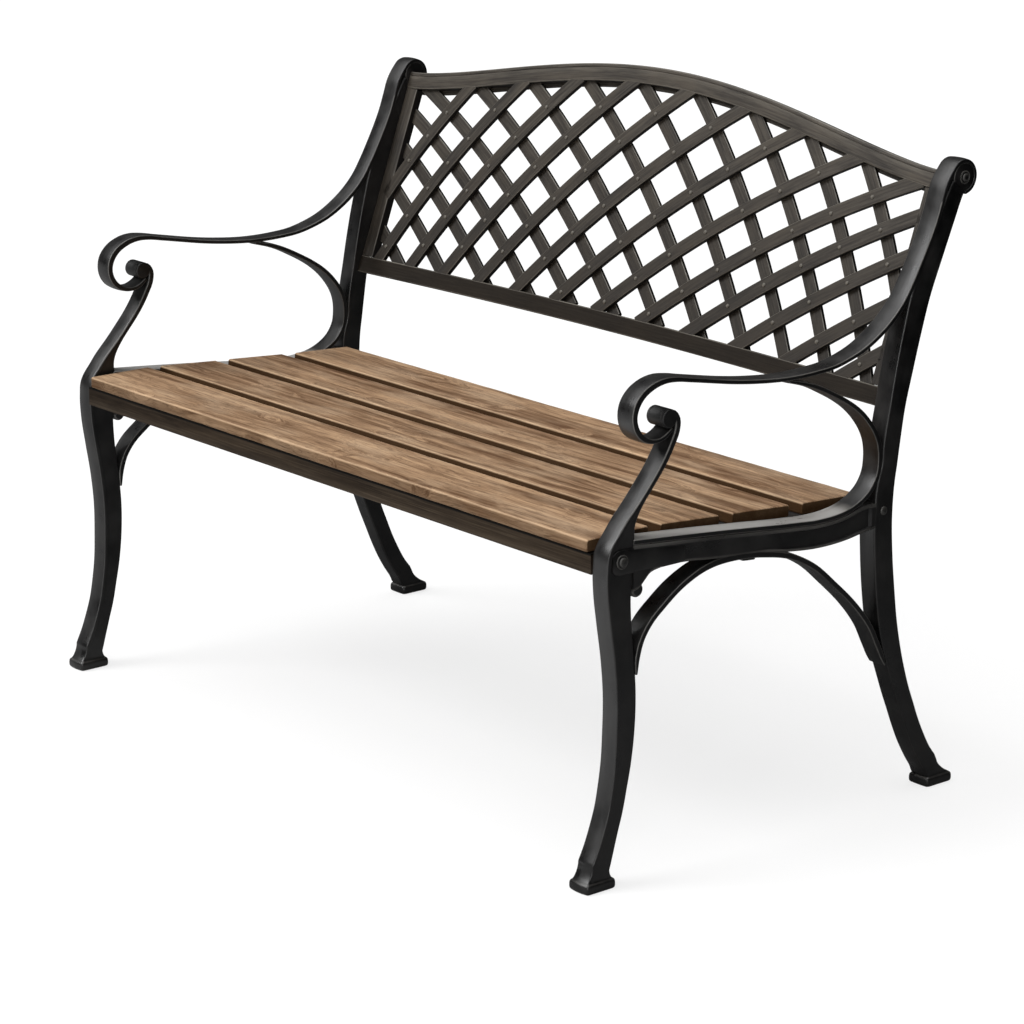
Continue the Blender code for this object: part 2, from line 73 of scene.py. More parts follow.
RECLINE = math.radians(19.9)
PANEL_Y, PANEL_Z = 0.262, 0.6
RAIL_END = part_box("top_rail")[1][0]
RAIL_HEIGHT = 0.0262
END_HEIGHT, ARCH_RISE, ARCH_FULLNESS = 0.264, 0.071, 0.7    # the top rail's upper edge
LOW_EDGE_END, LOW_EDGE_RISE = -0.033, 0.007                 # the lower rail's upper edge
RAIL_FRONT, RAIL_BACK = -0.0105, 0.0048
LAYER_A = (-0.01, -0.002)
LAYER_B = (-0.0017, 0.0046)
SIDE_BAR_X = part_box("side_bar_right")[0][0]
ARCH_REACH = 0.56
STRAP_WIDTH = 0.0205
STRAP_BULGE = 0.041                 # rise of a lattice strap's arc over its chord
FIRST_FOOT_STRAP, FIRST_FOOT_X = 3, -0.4515     # the strap that starts here on the lower rail
FOOT_PITCH, FOOT_SPREAD = 0.078, 0.0016     # pitch of the starts, and its growth from strap to strap
HEAD_PITCH, MIDDLE_STRAP = 0.119, 4.5       # pitch of the ends, counted from the bench's middle
FIRST_STRAP, LAST_STRAP = 1, 13

SLAT_WIDTH = 0.103
SLAT_THICKNESS = 0.0165


def metres(*rows):
    """Rows that are given in millimetres."""
    return tuple(tuple(value / 1000 for value in row) for row in rows)


# Side frame members: (y, z, thickness) along their middle lines, in millimetres
FRONT_LEG = metres(
    (-276.5, 31, 33), (-268.8, 50, 30), (-259.5, 75, 29), (-251.5, 100, 28.8), (-245.1, 130, 29.5),
    (-239.8, 160, 31.5), (-236, 200, 34.5), (-234.8, 250, 35.6), (-238.8, 300, 36), (-245.2, 350, 38.5),
    (-248.2, 390, 43.5), (-246.5, 418, 49), (-243, 438, 51), (-240.5, 450, 43), (-237.5, 462, 30),
    (-232.5, 475, 20), (-224, 488.5, 13), (-212.5, 503, 9.2), (-199.5, 518, 8.6), (-184.5, 535.5, 9),
    (-172.5, 552, 9.6), (-162.5, 569, 10), (-155.3, 584.5, 10.2), (-154.5, 598.5, 10),
    (-160.5, 606.8, 9.5), (-169, 608.8, 8))
BACK_LEG = metres(
    (325.3, 32, 29.6), (312, 50, 28), (297.5, 75, 28), (285.5, 100, 27.5), (274.9, 125.5, 27.6),
    (264.3, 151, 28), (253.5, 181, 29.5), (244, 210, 32.2), (233.8, 250, 35), (226, 300, 36),
    (220.7, 350, 35.2), (218.4, 400, 34.4), (221.6, 450, 33.5), (227.2, 475, 30), (229.9, 500, 31.8),
    (239.5, 555, 31), (249.8, 600, 34), (262.5, 650, 36.2), (277.5, 700, 37.5), (301, 750, 33),
    (323.8, 800, 31), (333, 820, 30), (342, 836, 28))
ARMREST = metres(
    (-162.5, 588.5, 5.5), (-172.5, 580.8, 6.5), (-183, 576.8, 6.5), (-194.5, 576.5, 7),
    (-205.5, 579.7, 8), (-216, 586.8, 9.2), (-223.5, 598, 9.5), (-226, 610.5, 9.7),
    (-223.2, 623.5, 10.4), (-213.5, 636.5, 10.2), (-195, 647, 9.6), (-174, 651.2, 8.6),
    (-155.5, 650, 7.6), (-131.5, 645.5, 7), (-98, 639, 6.8), (-62, 632.2, 6.8), (-20, 626, 6.7),
    (36, 621, 6.5), (91, 621.4, 6.5), (119, 623.7, 6.5), (147, 630, 6.7), (174.5, 639.3, 7.1),
    (203, 654.5, 7.6), (226.5, 671.5, 8), (247.5, 692.5, 8.1), (264, 716.7, 8.1), (278, 741, 8),
    (292, 767.2, 7.9), (303.2, 791.2, 7.7), (311.7, 815, 7.3), (320, 838.5, 6.6))
LOOP_BRACE = metres(
    (38, 617.2, 5), (71.7, 608, 6.4), (91, 601, 7), (119, 587.5, 7.2), (147, 572, 7.2),
    (160.6, 563, 7.4), (174.4, 551.8, 7.6), (187.5, 538, 7.8), (197.8, 524, 8), (205, 509, 8.2),
    (208, 495, 8.2), (208.2, 480, 8.2), (206, 466, 8), (200.3, 454.2, 7.8), (192.5, 444.7, 7.6),
    (181, 436.2, 7.4), (161, 427, 7.2), (130, 421.2, 7.2), (100, 420.2, 7.2), (50, 424, 7.2),
    (-20, 431.5, 7.2), (-100, 440, 7.2), (-226, 452, 7.2))
ARCH_BRACE = metres(
    (-219, 277, 4), (-217.2, 300, 8.4), (-209.2, 323, 8.5), (-196.5, 340.5, 8.5), (-171.1, 361.2, 8.5),
    (-149.8, 375.7, 8.5), (-128.5, 386.5, 8.7), (-107.2, 394.2, 9), (-86, 398.5, 9.4),
    (-64.7, 399.8, 9.5), (-43.4, 399.4, 9.5), (-20, 397.3, 9.2), (0, 394, 9), (48, 382.2, 8.6),
    (90, 360.8, 8.5), (130, 327.8, 8.5), (170, 290.5, 8.5), (186, 272.5, 8.5), (201, 252, 8.5),
    (212, 231, 8.5), (218, 219.5, 8.4), (224, 207, 7.4), (229.5, 195, 3))
# Seat rail: y, then the heights of its lower and upper edges, in millimetres
SEAT_RAIL = metres(
    (-226, 388, 448.5), (-217, 390.5, 447.8), (-208, 398.5, 446.8), (-198, 407, 445.8),
    (-180, 411, 444), (-140, 410.7, 440.3), (-100, 406, 436.4), (-50, 401, 431.1), (0, 397, 425.8),
    (50, 388.5, 420.4), (100, 384, 416.6), (150, 385.5, 419.5), (180, 389.5, 426.2), (210, 393, 426.2))


# Studio light
WORLD_BRIGHT_SIDE = (-0.75, 0.35, 0.56)
WORLD_START, WORLD_END = 0.0, 0.95
WORLD_DIM, WORLD_BRIGHT = 0.05, 1.6
# Lamps: name, azimuth, elevation and spread in degrees, strength
LAMPS = (("top_lamp", -20, 76, 70, 2.9), ("front_lamp", -28, 40, 30, 1.9),
         ("edge_lamp", 42, 14, 16, 0.8))
FLOOR_GLOW = 0.735
FLOOR_NEAR, FLOOR_FRONT = 0.22, 0.92     # share of light that the floor throws back beside and in front
FLOOR_LIT_X, FLOOR_LIT_Y = -0.5, -0.87  # direction in which the floor throws back more
FLOOR_REACH = 60.0

# Camera: degrees and metres, and the point it aims at
CAMERA_AZIMUTH, CAMERA_ELEVATION = 50.308, 15.783
CAMERA_DISTANCE, CAMERA_LENS = 4.974, 121.61
AIM_Y, AIM_Z = 0.07425, 0.3072


# ---- materials

class Shader:
    """A material or world and short calls that add nodes to it."""

    def __init__(self, name, kind="materials", surface="Principled BSDF"):
        self.made = getattr(bpy.data, kind).new(name)
        self.made.use_nodes = True
        self.tree = self.made.node_tree
        self.surface = self.tree.nodes[surface]

    def node(self, kind, **inputs):
        """Adds a node.  Inputs are numbers, vectors, colours or other nodes' sockets."""
        made = self.tree.nodes.new("ShaderNode" + kind)
        for key, value in inputs.items():
            self.put(made.inputs[key.replace("_", " ")], value)
        return made

    def put(self, socket, value):
        if isinstance(value, bpy.types.NodeSocket):
            self.tree.links.new(value, socket)
        elif socket.type == "RGBA":
            socket.default_value = (*value, 1.0)
        else:
            socket.default_value = value

    def set(self, **inputs):
        """Sets inputs of the surface itself."""
        for key, value in inputs.items():
            self.put(self.surface.inputs[key.replace("_", " ")], value)

    def attribute(self, name, output="Fac"):
        made = self.node("Attribute")
        made.attribute_name = name
        return made.outputs[output]

    def bar_values(self):
        """The place in the straightened bar, the edge wear and painted highlight, and the painted shade.
        """
        return self.attribute("bar", "Vector"), self.attribute("edge"), self.attribute("shade")

    def place(self):
        return self.node("TexCoord").outputs["Object"]

    def scaled(self, vector, factors):
        return self.node("Mapping", Vector=vector, Scale=factors).outputs["Vector"]

    def noise(self, vector, scale, detail=4.0, roughness=0.55):
        made = self.node("TexNoise", Vector=vector, Scale=scale, Detail=detail, Roughness=roughness)
        return made.outputs["Fac"]

    def ramp(self, value, low, high, to_low=0.0, to_high=1.0):
        made = self.node("MapRange", Value=value, From_Min=low, From_Max=high,
                         To_Min=to_low, To_Max=to_high)
        return made.outputs["Result"]

    def math(self, operation, a, b, kind="Math", output="Value"):
        made = self.node(kind)
        made.operation = operation
        self.put(made.inputs[0], a)
        self.put(made.inputs[1], b)
        return made.outputs[output]

    def times(self, a, b):
        return self.math("MULTIPLY", a, b)

    def plus(self, a, b):
        return self.math("ADD", a, b)

    def minus(self, a, b):
        return self.math("SUBTRACT", a, b)

    def mix(self, factor, a, b):
        """Colour a where factor is 0 and b where it is 1."""
        made = self.node("Mix")
        made.data_type = "RGBA"
        self.put(made.inputs["Factor"], factor)
        self.put(made.inputs[6], a)
        self.put(made.inputs[7], b)
        return made.outputs[2]

    def stained(self, color, *stains):
        """Lays stains over a colour.  Each is (value, low, high, strength, stain colour)."""
        for value, low, high, strength, stain in stains:
            color = self.mix(self.ramp(value, low, high, 0.0, strength), color, stain)
        return color

    def bump(self, height, strength, distance, normal=None):
        made = self.node("Bump", Height=height, Strength=strength, Distance=distance)
        if normal is not None:
            self.put(made.inputs["Normal"], normal)
        return made.outputs["Normal"]


def black_casting():
    """Satin black paint over cast iron: fine pimples, soft patches, rubbed edges lightened further as
    painted highlights, painted shade on the shaded sides, and a painted reflection where the edge value
    passes 1.
    """
    s = Shader("black_casting")
    bar, edge, shade = s.bar_values()
    patches = s.noise(bar, 24.0, 4.0)
    streaks = s.noise(s.scaled(bar, (6.0, 60.0, 60.0)), 1.0, 4.0)
    pimples = s.noise(bar, 480.0, 2.0)
    paint = s.mix(s.ramp(patches, 0.35, 0.7), (0.0036, 0.0035, 0.0037), (0.0175, 0.0168, 0.0162))
    # painted shade: the shaded sides darken to near black
    paint = s.mix(s.times(shade, 0.8), paint, (0.002, 0.002, 0.0021))
    # edge wear, lightened further as painted highlight lines
    wear_and_highlight = s.times(s.ramp(edge, 0.3, 1.0), s.ramp(streaks, 0.38, 0.6, 0.35, 1.0))
    rubbed_and_highlit = s.mix(s.times(wear_and_highlight, 0.8), paint, (0.165, 0.158, 0.146))
    # painted reflection: edge values from 1 to 2 turn the surface pale grey
    painted_reflection = s.times(s.ramp(edge, 1.0, 2.0), s.ramp(streaks, 0.3, 0.55, 0.55, 1.0))
    gloss = s.ramp(s.plus(patches, streaks), 0.75, 1.25, 0.24, 0.48)
    s.set(Base_Color=s.mix(painted_reflection, rubbed_and_highlit, (0.3, 0.292, 0.28)),
          Roughness=s.plus(gloss, s.times(shade, 0.12)), Specular_IOR_Level=0.5,
          Normal=s.bump(pimples, 0.2, 0.0002, s.bump(streaks, 0.3, 0.0008)))
    return s.made


def bronze_paint(name, gloss, dim):
    """Brownish black paint, brushed along each bar, with rubbed edges lightened further as painted
    highlights, painted shade on the sides, and painted shade that darkens it towards the bottom.
    """
    s = Shader(name)
    bar, edge, shade = s.bar_values()
    patches = s.noise(s.scaled(bar, (9.0, 34.0, 34.0)), 1.0, 4.0)
    streaks = s.noise(s.scaled(bar, (16.0, 380.0, 380.0)), 1.0, 5.0, 0.65)
    pits = s.noise(bar, 700.0, 2.0)
    height = s.node("SeparateXYZ", Vector=s.place()).outputs["Z"]
    base = s.mix(s.ramp(patches, 0.34, 0.68), (0.013, 0.01, 0.0073), (0.0505, 0.0415, 0.0315))
    base = s.stained(base, (streaks, 0.46, 0.7, 0.62, (0.092, 0.081, 0.066)),
                     (streaks, 0.47, 0.32, 0.7, (0.008, 0.006, 0.0045)))
    # painted shade: darker towards the bottom of the panel
    base = s.mix(s.ramp(height, 0.57, 0.84, 0.62, 0.0), base, (0.012, 0.009, 0.0065))
    # painted shade: the whole copy darkened by the share `dim`
    base = s.mix(dim, base, (0.008, 0.0058, 0.0042))
    # painted shade on the shaded sides
    base = s.mix(s.times(shade, 0.88), base, (0.0045, 0.004, 0.0038))
    # edge wear, lightened further as painted highlight lines
    wear_and_highlight = s.times(s.ramp(edge, 0.25, 1.0), s.ramp(patches, 0.36, 0.56, 0.35, 1.0))
    s.set(Base_Color=s.mix(s.times(wear_and_highlight, 0.85), base, (0.155, 0.142, 0.12)),
          Roughness=s.ramp(s.plus(patches, streaks), 0.75, 1.3, 0.56, 0.36), Specular_IOR_Level=gloss,
          Normal=s.bump(s.plus(streaks, s.times(pits, 0.5)), 0.35, 0.0002))
    return s.made


def grain_place(s, bar):
    """The place in the bar, pushed about so that the grain waves and turns round knots."""
    drift = s.noise(s.scaled(bar, (3.0, 20.0, 20.0)), 1.0, 3.0)
    swirl = s.noise(s.scaled(bar, (9.0, 22.0, 22.0)), 1.0, 1.0)
    bend = s.plus(s.times(drift, 0.036), s.times(s.ramp(swirl, 0.6, 0.74), 0.02))
    push = s.node("CombineXYZ", Y=bend, Z=bend).outputs["Vector"]
    return s.math("ADD", bar, push, "VectorMath", "Vector")


def seat_wood():
    """Weathered brown hardwood: long wavy grain, dark pores, knots, pale worn lips, painted shade on the
    sides in the gaps and underneath, and darker ends.
    """
    s = Shader("seat_wood")
    bar, edge, shade = s.bar_values()
    grained = grain_place(s, bar)
    bands = s.noise(s.scaled(grained, (2.4, 62.0, 62.0)), 1.0, 6.0, 0.66)
    fibres = s.noise(s.scaled(grained, (14.0, 520.0, 520.0)), 1.0, 4.0, 0.65)
    pores = s.noise(s.scaled(grained, (34.0, 760.0, 760.0)), 1.0, 2.0, 0.5)
    blotches = s.noise(s.scaled(bar, (7.0, 20.0, 20.0)), 1.0, 4.0)
    base = s.mix(s.ramp(bands, 0.38, 0.62), (0.112, 0.056, 0.026), (0.418, 0.268, 0.156))
    base = s.stained(base, (blotches, 0.46, 0.72, 0.6, (0.48, 0.345, 0.225)),
                     (blotches, 0.44, 0.28, 0.45, (0.15, 0.082, 0.044)),
                     (fibres, 0.49, 0.66, 0.7, (0.085, 0.043, 0.021)),
                     (pores, 0.6, 0.72, 0.7, (0.05, 0.026, 0.014)))
    base = s.mix(s.times(s.ramp(edge, 0.2, 1.0), 0.42), base, (0.56, 0.4, 0.255))
    height = s.minus(s.times(bands, 0.6), s.times(fibres, 0.5))
    # painted shade on the sides in the gaps and underneath, and darker ends
    s.set(Base_Color=s.mix(shade, base, (0.04, 0.0175, 0.004)),
          Roughness=s.plus(s.ramp(bands, 0.3, 0.7, 0.7, 0.52), s.times(shade, 0.25)),
          Specular_IOR_Level=0.18,
          Normal=s.bump(s.minus(height, s.ramp(pores, 0.58, 0.7)), 0.55, 0.0005))
    return s.made


def front_steel():
    """Worn brown-grey flat bar with long scratches and faint rust patches, and a painted shadow under
    the seat.
    """
    s = Shader("front_steel")
    bar, edge, shade = s.bar_values()
    patches = s.noise(s.scaled(bar, (5.0, 38.0, 38.0)), 1.0, 5.0, 0.6)
    scratches = s.noise(s.scaled(bar, (7.0, 520.0, 520.0)), 1.0, 4.0, 0.65)
    base = s.mix(s.ramp(patches, 0.34, 0.68), (0.0105, 0.0064, 0.0036), (0.037, 0.025, 0.015))
    base = s.stained(base, (scratches, 0.5, 0.75, 0.6, (0.074, 0.056, 0.038)))
    base = s.mix(s.times(edge, 0.4), base, (0.13, 0.11, 0.09))
    # painted shadow where the slat overhangs the top of the front face
    s.set(Base_Color=s.mix(shade, base, (0.0012, 0.0009, 0.0006)),
          Roughness=s.ramp(patches, 0.3, 0.7, 0.68, 0.5), Specular_IOR_Level=0.09,
          Normal=s.bump(scratches, 0.35, 0.0002))
    return s.made


def bolt_steel():
    """Black painted bolt heads, rubbed bright on their rims and high spots, which also serves as painted
    highlights.
    """
    s = Shader("bolt_steel")
    place = s.place()
    patches = s.noise(place, 160.0, 4.0)
    grit = s.noise(place, 900.0, 2.0)
    paint = s.mix(s.ramp(patches, 0.42, 0.68), (0.006, 0.006, 0.006), (0.024, 0.023, 0.021))
    # rims rubbed bright, which also serves as painted highlights
    s.set(Base_Color=s.mix(s.times(s.attribute("edge"), 0.45), paint, (0.14, 0.135, 0.125)),
          Roughness=s.ramp(patches, 0.3, 0.7, 0.26, 0.42), Normal=s.bump(grit, 0.25, 0.0002))
    return s.made


BLACK = black_casting()
BRONZE = bronze_paint("bronze_paint", 0.34, 0.0)
# the lower rail's copy: less glossy, and half darkened as painted shade
DULL_SHADED_BRONZE = bronze_paint("dull_shaded_bronze_paint", 0.12, 0.5)
WOOD = seat_wood()
STEEL = front_steel()
BOLTS = bolt_steel()


# ---- curves and sections

def smooth(rows, spacing):
    """Rows about `spacing` apart along a smooth curve through the given rows."""
    rows = np.array(rows, float)
    lengths = np.linalg.norm(np.diff(rows[:, :2], axis=0), axis=1)
    stations = np.concatenate(([0.0], np.cumsum(lengths)))
    slopes = np.gradient(rows, stations, axis=0)
    result = [rows[0]]
    for i, length in enumerate(lengths):
        steps = max(2, math.ceil(length / spacing))
        for step in range(1, steps + 1):
            t = step / steps
            start = (2 * t**3 - 3 * t**2 + 1) * rows[i] + (t**3 - 2 * t**2 + t) * length * slopes[i]
            end = (3 * t**2 - 2 * t**3) * rows[i + 1] + (t**3 - t**2) * length * slopes[i + 1]
            result.append(start + end)
    return np.array(result)


def arc(center, radius, start, end, count, thickness):
    angles = np.radians(np.linspace(start, end, count))
    return [(center[0] + radius * math.cos(a), center[1] + radius * math.sin(a), thickness)
            for a in angles]


def tangents_of(rows):
    tangents = np.gradient(rows[:, :2], axis=0)
    return tangents / np.linalg.norm(tangents, axis=1)[:, None]


def travelled(rows):
    steps = np.linalg.norm(np.diff(rows[:, :2], axis=0), axis=1)
    return np.concatenate(([0.0], np.cumsum(steps)))


def ease(value, low, high):
    t = min(max((value - low) / (high - low), 0.0), 1.0)
    return t * t * (3 - 2 * t)


CORNER_STEPS = 4
FACE_STEPS = 4


def round_corner(u, v, radius, start):
    """A quarter turn about (u, v) as (u, v, edge), from `start` degrees on."""
    points = []
    for step in range(CORNER_STEPS + 1):
        angle = math.radians(start + 90 * step / CORNER_STEPS)
        points.append((u + radius * math.cos(angle), v + radius * math.sin(angle),
                       math.sin(math.pi * step / CORNER_STEPS)))
    return points


def box_section(depth, width, radius, crown=0.0, inset=0.0):
    """Round-cornered section as (u, v, edge).  Its u faces bulge by `crown` in their middle."""
    half_u, half_v = depth / 2 - inset - crown / 2, width / 2 - inset
    radius = max(min(radius - inset / 2, 0.98 * half_u, 0.98 * half_v), 0.00005)
    flat_u, flat_v = half_u - radius, half_v - radius
    points = []
    for quarter, (su, sv) in enumerate(((1, 1), (-1, 1), (-1, -1), (1, -1))):
        points += round_corner(su * flat_u, sv * flat_v, radius, 90 * quarter)
        if quarter in (1, 3):
            for step in range(1, FACE_STEPS):
                t = step / FACE_STEPS
                bulge = crown * (1 - (2 * t - 1)**2)
                points.append((su * (half_u + bulge), sv * flat_v * (1 - 2 * t), 0.0))
    return points


def flanged_section(depth, recess, crown=0.0):
    """The front leg: a rounded full-width front edge, then a web `recess` lower on each side."""
    front, radius = depth / 2 - crown, min(0.0026, depth / 4)
    web, rear = HALF - recess, min(0.003, depth / 5)
    step_u = front - min(LEG_FLANGE + 0.001, 0.5 * depth)
    side = round_corner(front - radius, HALF - radius, radius, 0)
    side += [(step_u, HALF, 0.2), (step_u - 0.0003, HALF - 0.25 * recess, 0.7),
             (step_u - 0.0006, web + 0.15 * recess, 0.0), (step_u - 0.0012, web, 0.0)]
    side += round_corner(rear - depth / 2, web - rear, rear, 90)
    shares = [step / FACE_STEPS for step in range(1, FACE_STEPS)]
    across = [(-depth / 2, (web - rear) * (1 - 2 * t), 0.0) for t in shares]
    other = [(u, -v, sharp) for u, v, sharp in reversed(side)]
    front_face = [(front + crown * (1 - (2 * t - 1)**2), (HALF - radius) * (2 * t - 1), 0.0)
                  for t in shares]
    return side + across + other + front_face


# ---- solids

class Ring:
    """Points in space, each with its place in the straightened bar, its edge wear and painted highlight,
    and its painted shade.
    """

    def __init__(self, points, bar, edges, shade=0.0):
        self.points = points
        self.bar = bar
        self.edges = edges
        self.shade = shade if isinstance(shade, list) else [shade] * len(points)


def side_shade(section, across_v=False):
    """1 on the faces across u and 0 on those across v, or the reverse, turning over the corners."""
    reach_u = max(u for u, _, _ in section)
    reach_v = max(v for _, v, _ in section)
    room = min(reach_u, reach_v, 0.0016)
    shade = []
    for u, v, _ in section:
        to_side, to_face = (reach_u - abs(u)) / room, (reach_v - abs(v)) / room
        dark = min(max(0.5 + 0.5 * (to_face - to_side), 0.0), 1.0)
        shade.append(1 - dark if across_v else dark)
    return shade


def section_ring(section, point_at, along, shade=0.0):
    return Ring([point_at(u, v) for u, v, _ in section],
                [(along, u, v) for u, v, _ in section],
                [sharp for _, _, sharp in section], shade)


def evenly_worn_and_highlit(section, wear_and_highlight):
    return [(u, v, wear_and_highlight) for u, v, *_ in section]


def shell_mesh(name, ring_sets):
    """A mesh of closed shells, each skinned over its own list of rings and capped at both ends."""
    points, faces, bar, edges, shade = [], [], [], [], []
    for rings in ring_sets:
        base, count = len(points), len(rings[0].points)
        for ring in rings:
            points += [tuple(point) for point in ring.points]
            bar += ring.bar
            edges += ring.edges
            shade += ring.shade
        for row in range(len(rings) - 1):
            low, high = base + row * count, base + (row + 1) * count
            for i in range(count):
                j = (i + 1) % count
                faces.append((low + i, low + j, high + j, high + i))
        faces.append(tuple(range(base + count - 1, base - 1, -1)))
        faces.append(tuple(range(base + (len(rings) - 1) * count, base + len(rings) * count)))
    mesh = bpy.data.meshes.new(name)
    mesh.from_pydata(points, [], faces)
    for label, values, kind, key in (("bar", bar, "FLOAT_VECTOR", "vector"),
                                     ("edge", edges, "FLOAT", "value"),
                                     ("shade", shade, "FLOAT", "value")):
        layer = mesh.attributes.new(label, kind, "POINT")
        layer.data.foreach_set(key, np.array(values, np.float32).ravel())
    return mesh


def skin(name, ring_sets, material, sharp_angle):
    """An object of closed shells, smooth between its sharp edges."""
    mesh = shell_mesh(name, ring_sets)
    shape = bmesh.new()
    shape.from_mesh(mesh)
    bmesh.ops.recalc_face_normals(shape, faces=shape.faces)
    shape.to_mesh(mesh)
    shape.free()
    mesh.shade_smooth()
    mesh.set_sharp_from_angle(angle=math.radians(sharp_angle))
    mesh.materials.append(material)
    piece = bpy.data.objects.new(name, mesh)
    bpy.context.collection.objects.link(piece)
    weighted = piece.modifiers.new("Weighted Normal", "WEIGHTED_NORMAL")
    weighted.keep_sharp = True
    return piece


def stand_in(node, ring_sets, material, sharp_angle=38.0):
    """A finer piece in place of a frame node."""
    piece = skin("visual_" + node, ring_sets, material, sharp_angle)
    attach(piece, "root")
    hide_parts(node)


def frame_place(side):
    """Maps (y, z, outward offset from the frame's middle plane) to a point."""
    return lambda y, z, offset: (side * (FRAME_X + offset), y + MIDDLE_Y, z)


def panel_place(x, s, depth):
    """Maps the back panel's x, distance up its slope and depth behind its plane to a point."""
    return (x,
            MIDDLE_Y + PANEL_Y + s * math.sin(RECLINE) + depth * math.cos(RECLINE),
            PANEL_Z + s * math.cos(RECLINE) - depth * math.sin(RECLINE))


def shifted(place, middle):
    return lambda a, b, offset: place(a, b, middle + offset)


END_TURNS = (0, 30, 60)             # degrees round a bar's rounded end, one ring at each
END_RINGS = len(END_TURNS) + 1


def sweep(rows, width, place, radius, crown=0.0, round_end=0.001, seed=0.0, dark_sides="u",
          shape=box_section):
    """Rings of a round-cornered bar along rows of (a, b, depth), with rounded ends.

    The faces across the direction named by `dark_sides` are shaded.
    """
    tangents, along = tangents_of(rows), travelled(rows)
    rings = []

    def add(i, forward=0.0, inset=0.0):
        a, b, depth = rows[i]
        step_a, step_b = tangents[i]
        a, b = a + step_a * forward, b + step_b * forward
        section = shape(depth, width, radius, crown, inset)
        rings.append(section_ring(section, lambda u, v: place(a - u * step_b, b + u * step_a, v),
                                  along[i] + seed, side_shade(section, dark_sides == "v")))

    turns = [math.radians(angle) for angle in END_TURNS]
    ends = [(round_end * (1 - math.cos(turn)), round_end * (1 - math.sin(turn))) for turn in turns]
    for forward, inset in ends:
        add(0, forward, inset)
    add(0, round_end)
    for i in range(1, len(rows) - 1):
        add(i)
    add(-1, -round_end)
    for forward, inset in reversed(ends):
        add(-1, -forward, inset)
    return rings


def profile_turns(profile):
    """How far a turned profile bends outward at each of its points, from 0 to 1."""
    turns = [0.0]
    for before, here, after in zip(profile, profile[1:], profile[2:]):
        first = math.atan2(here[1] - before[1], here[0] - before[0])
        second = math.atan2(after[1] - here[1], after[0] - here[0])
        turn = (second - first + math.pi) % (2 * math.pi) - math.pi
        turns.append(min(max(turn / math.radians(35), 0.0), 1.0))
    return turns + [0.0]


def turned(profile, point_at, sides):
    """Rings of a turned solid.  profile is (radius, height)."""
    rings = []
    station = 0.0
    last = profile[0]
    for (radius, height), rim in zip(profile, profile_turns(profile)):
        station += math.hypot(radius - last[0], height - last[1])
        last = (radius, height)
        points, bar = [], []
        for i in range(sides):
            angle = 2 * math.pi * i / sides
            a, b = radius * math.cos(angle), radius * math.sin(angle)
            points.append(point_at(a, b, height))
            bar.append((station, a, b))
        rings.append(Ring(points, bar, [rim] * sides))
    return rings


def round_profile(radius, low, high, corner):
    """Profile of a disc with rounded rims."""
    angles = [math.radians(90 * step / CORNER_STEPS) for step in range(CORNER_STEPS + 1)]
    flat = radius - corner
    return ([(flat + corner * math.sin(a), low + corner - corner * math.cos(a)) for a in angles]
            + [(flat + corner * math.cos(a), high - corner + corner * math.sin(a)) for a in angles])


# ---- side frames

SIDES = ((1, "right"), (-1, "left"))
# Painted shade on the legs' sides below the strut
LEG_SIDE_SHADE = 0.25
SEAT_RUN_START, SEAT_RUN_REFLECTION = 0.3, 2.0      # along the loop brace, and the painted reflection on its top there
# Painted shade on the eye drum
EYE_SHADE = 0.8
# Shares of the edge wear and painted highlight on the lower legs, the knob wrap and the eye
LEG_EDGE_WEAR_AND_HIGHLIGHT, KNOB_EDGE_WEAR_AND_HIGHLIGHT, EYE_EDGE_WEAR_AND_HIGHLIGHT = 0.4, 0.2, 0.5
LEG_CROWN, ARMREST_CROWN, LOOP_CROWN = 0.0011, 0.0008, 0.0006
KNOB_WRAP = 0.13                               # length of the armrest's end that wraps the knob
BACK_LEG_CORNER, BACK_LEG_CROWN = 0.0032, 0.0003
LEG_START = 0.03                                # bar coordinate where a leg starts above its pad
RAIL_INNER = -0.0152                            # the seat rail's inner face, from the middle plane
RAIL_REAR_END = 0.2035
TONGUE_NOSE, TONGUE_TIP = 0.018, -0.2612       # radius of the tongue's round nose, and its front
LUG, LUG_RADIUS, LUG_REACH = (-0.216, 0.3875), 0.0098, 0.0118
ARCH_CLIP = metres(
    (-33, 392.2, 4.4), (-22, 391.4, 5), (-11, 390.2, 4.4))
CLIP_WIDTH = 0.018
# A fine groove near each end of the eye: millimetres in from the drum's radius, and from its end
EYE_GROOVE = metres(
    (0, 5.4), (0, 4.6), (0.5, 4.2), (0.5, 3.4), (0, 3))


# Foot pad: heights, how far the wall stands out there, and its edge wear and painted highlight
PAD_WALL = ((0.0, -0.003, 0.0), (0.0006, -0.0016, 0.0), (0.002, -0.0004, 0.5), (0.0045, 0.0, 0.0),
            (0.008, 0.0, 0.0), (0.0108, -0.0003, 0.0), (0.0128, -0.0013, 0.5), (0.0138, -0.0028, 0.5))
PAD_TOP = PAD_WALL[-1][0]
FLARE_INSET, FLARE_RISE = -0.0034, 0.017
FLARE_STATIONS = (0.12, 0.25, 0.4, 0.55, 0.7, 0.85)


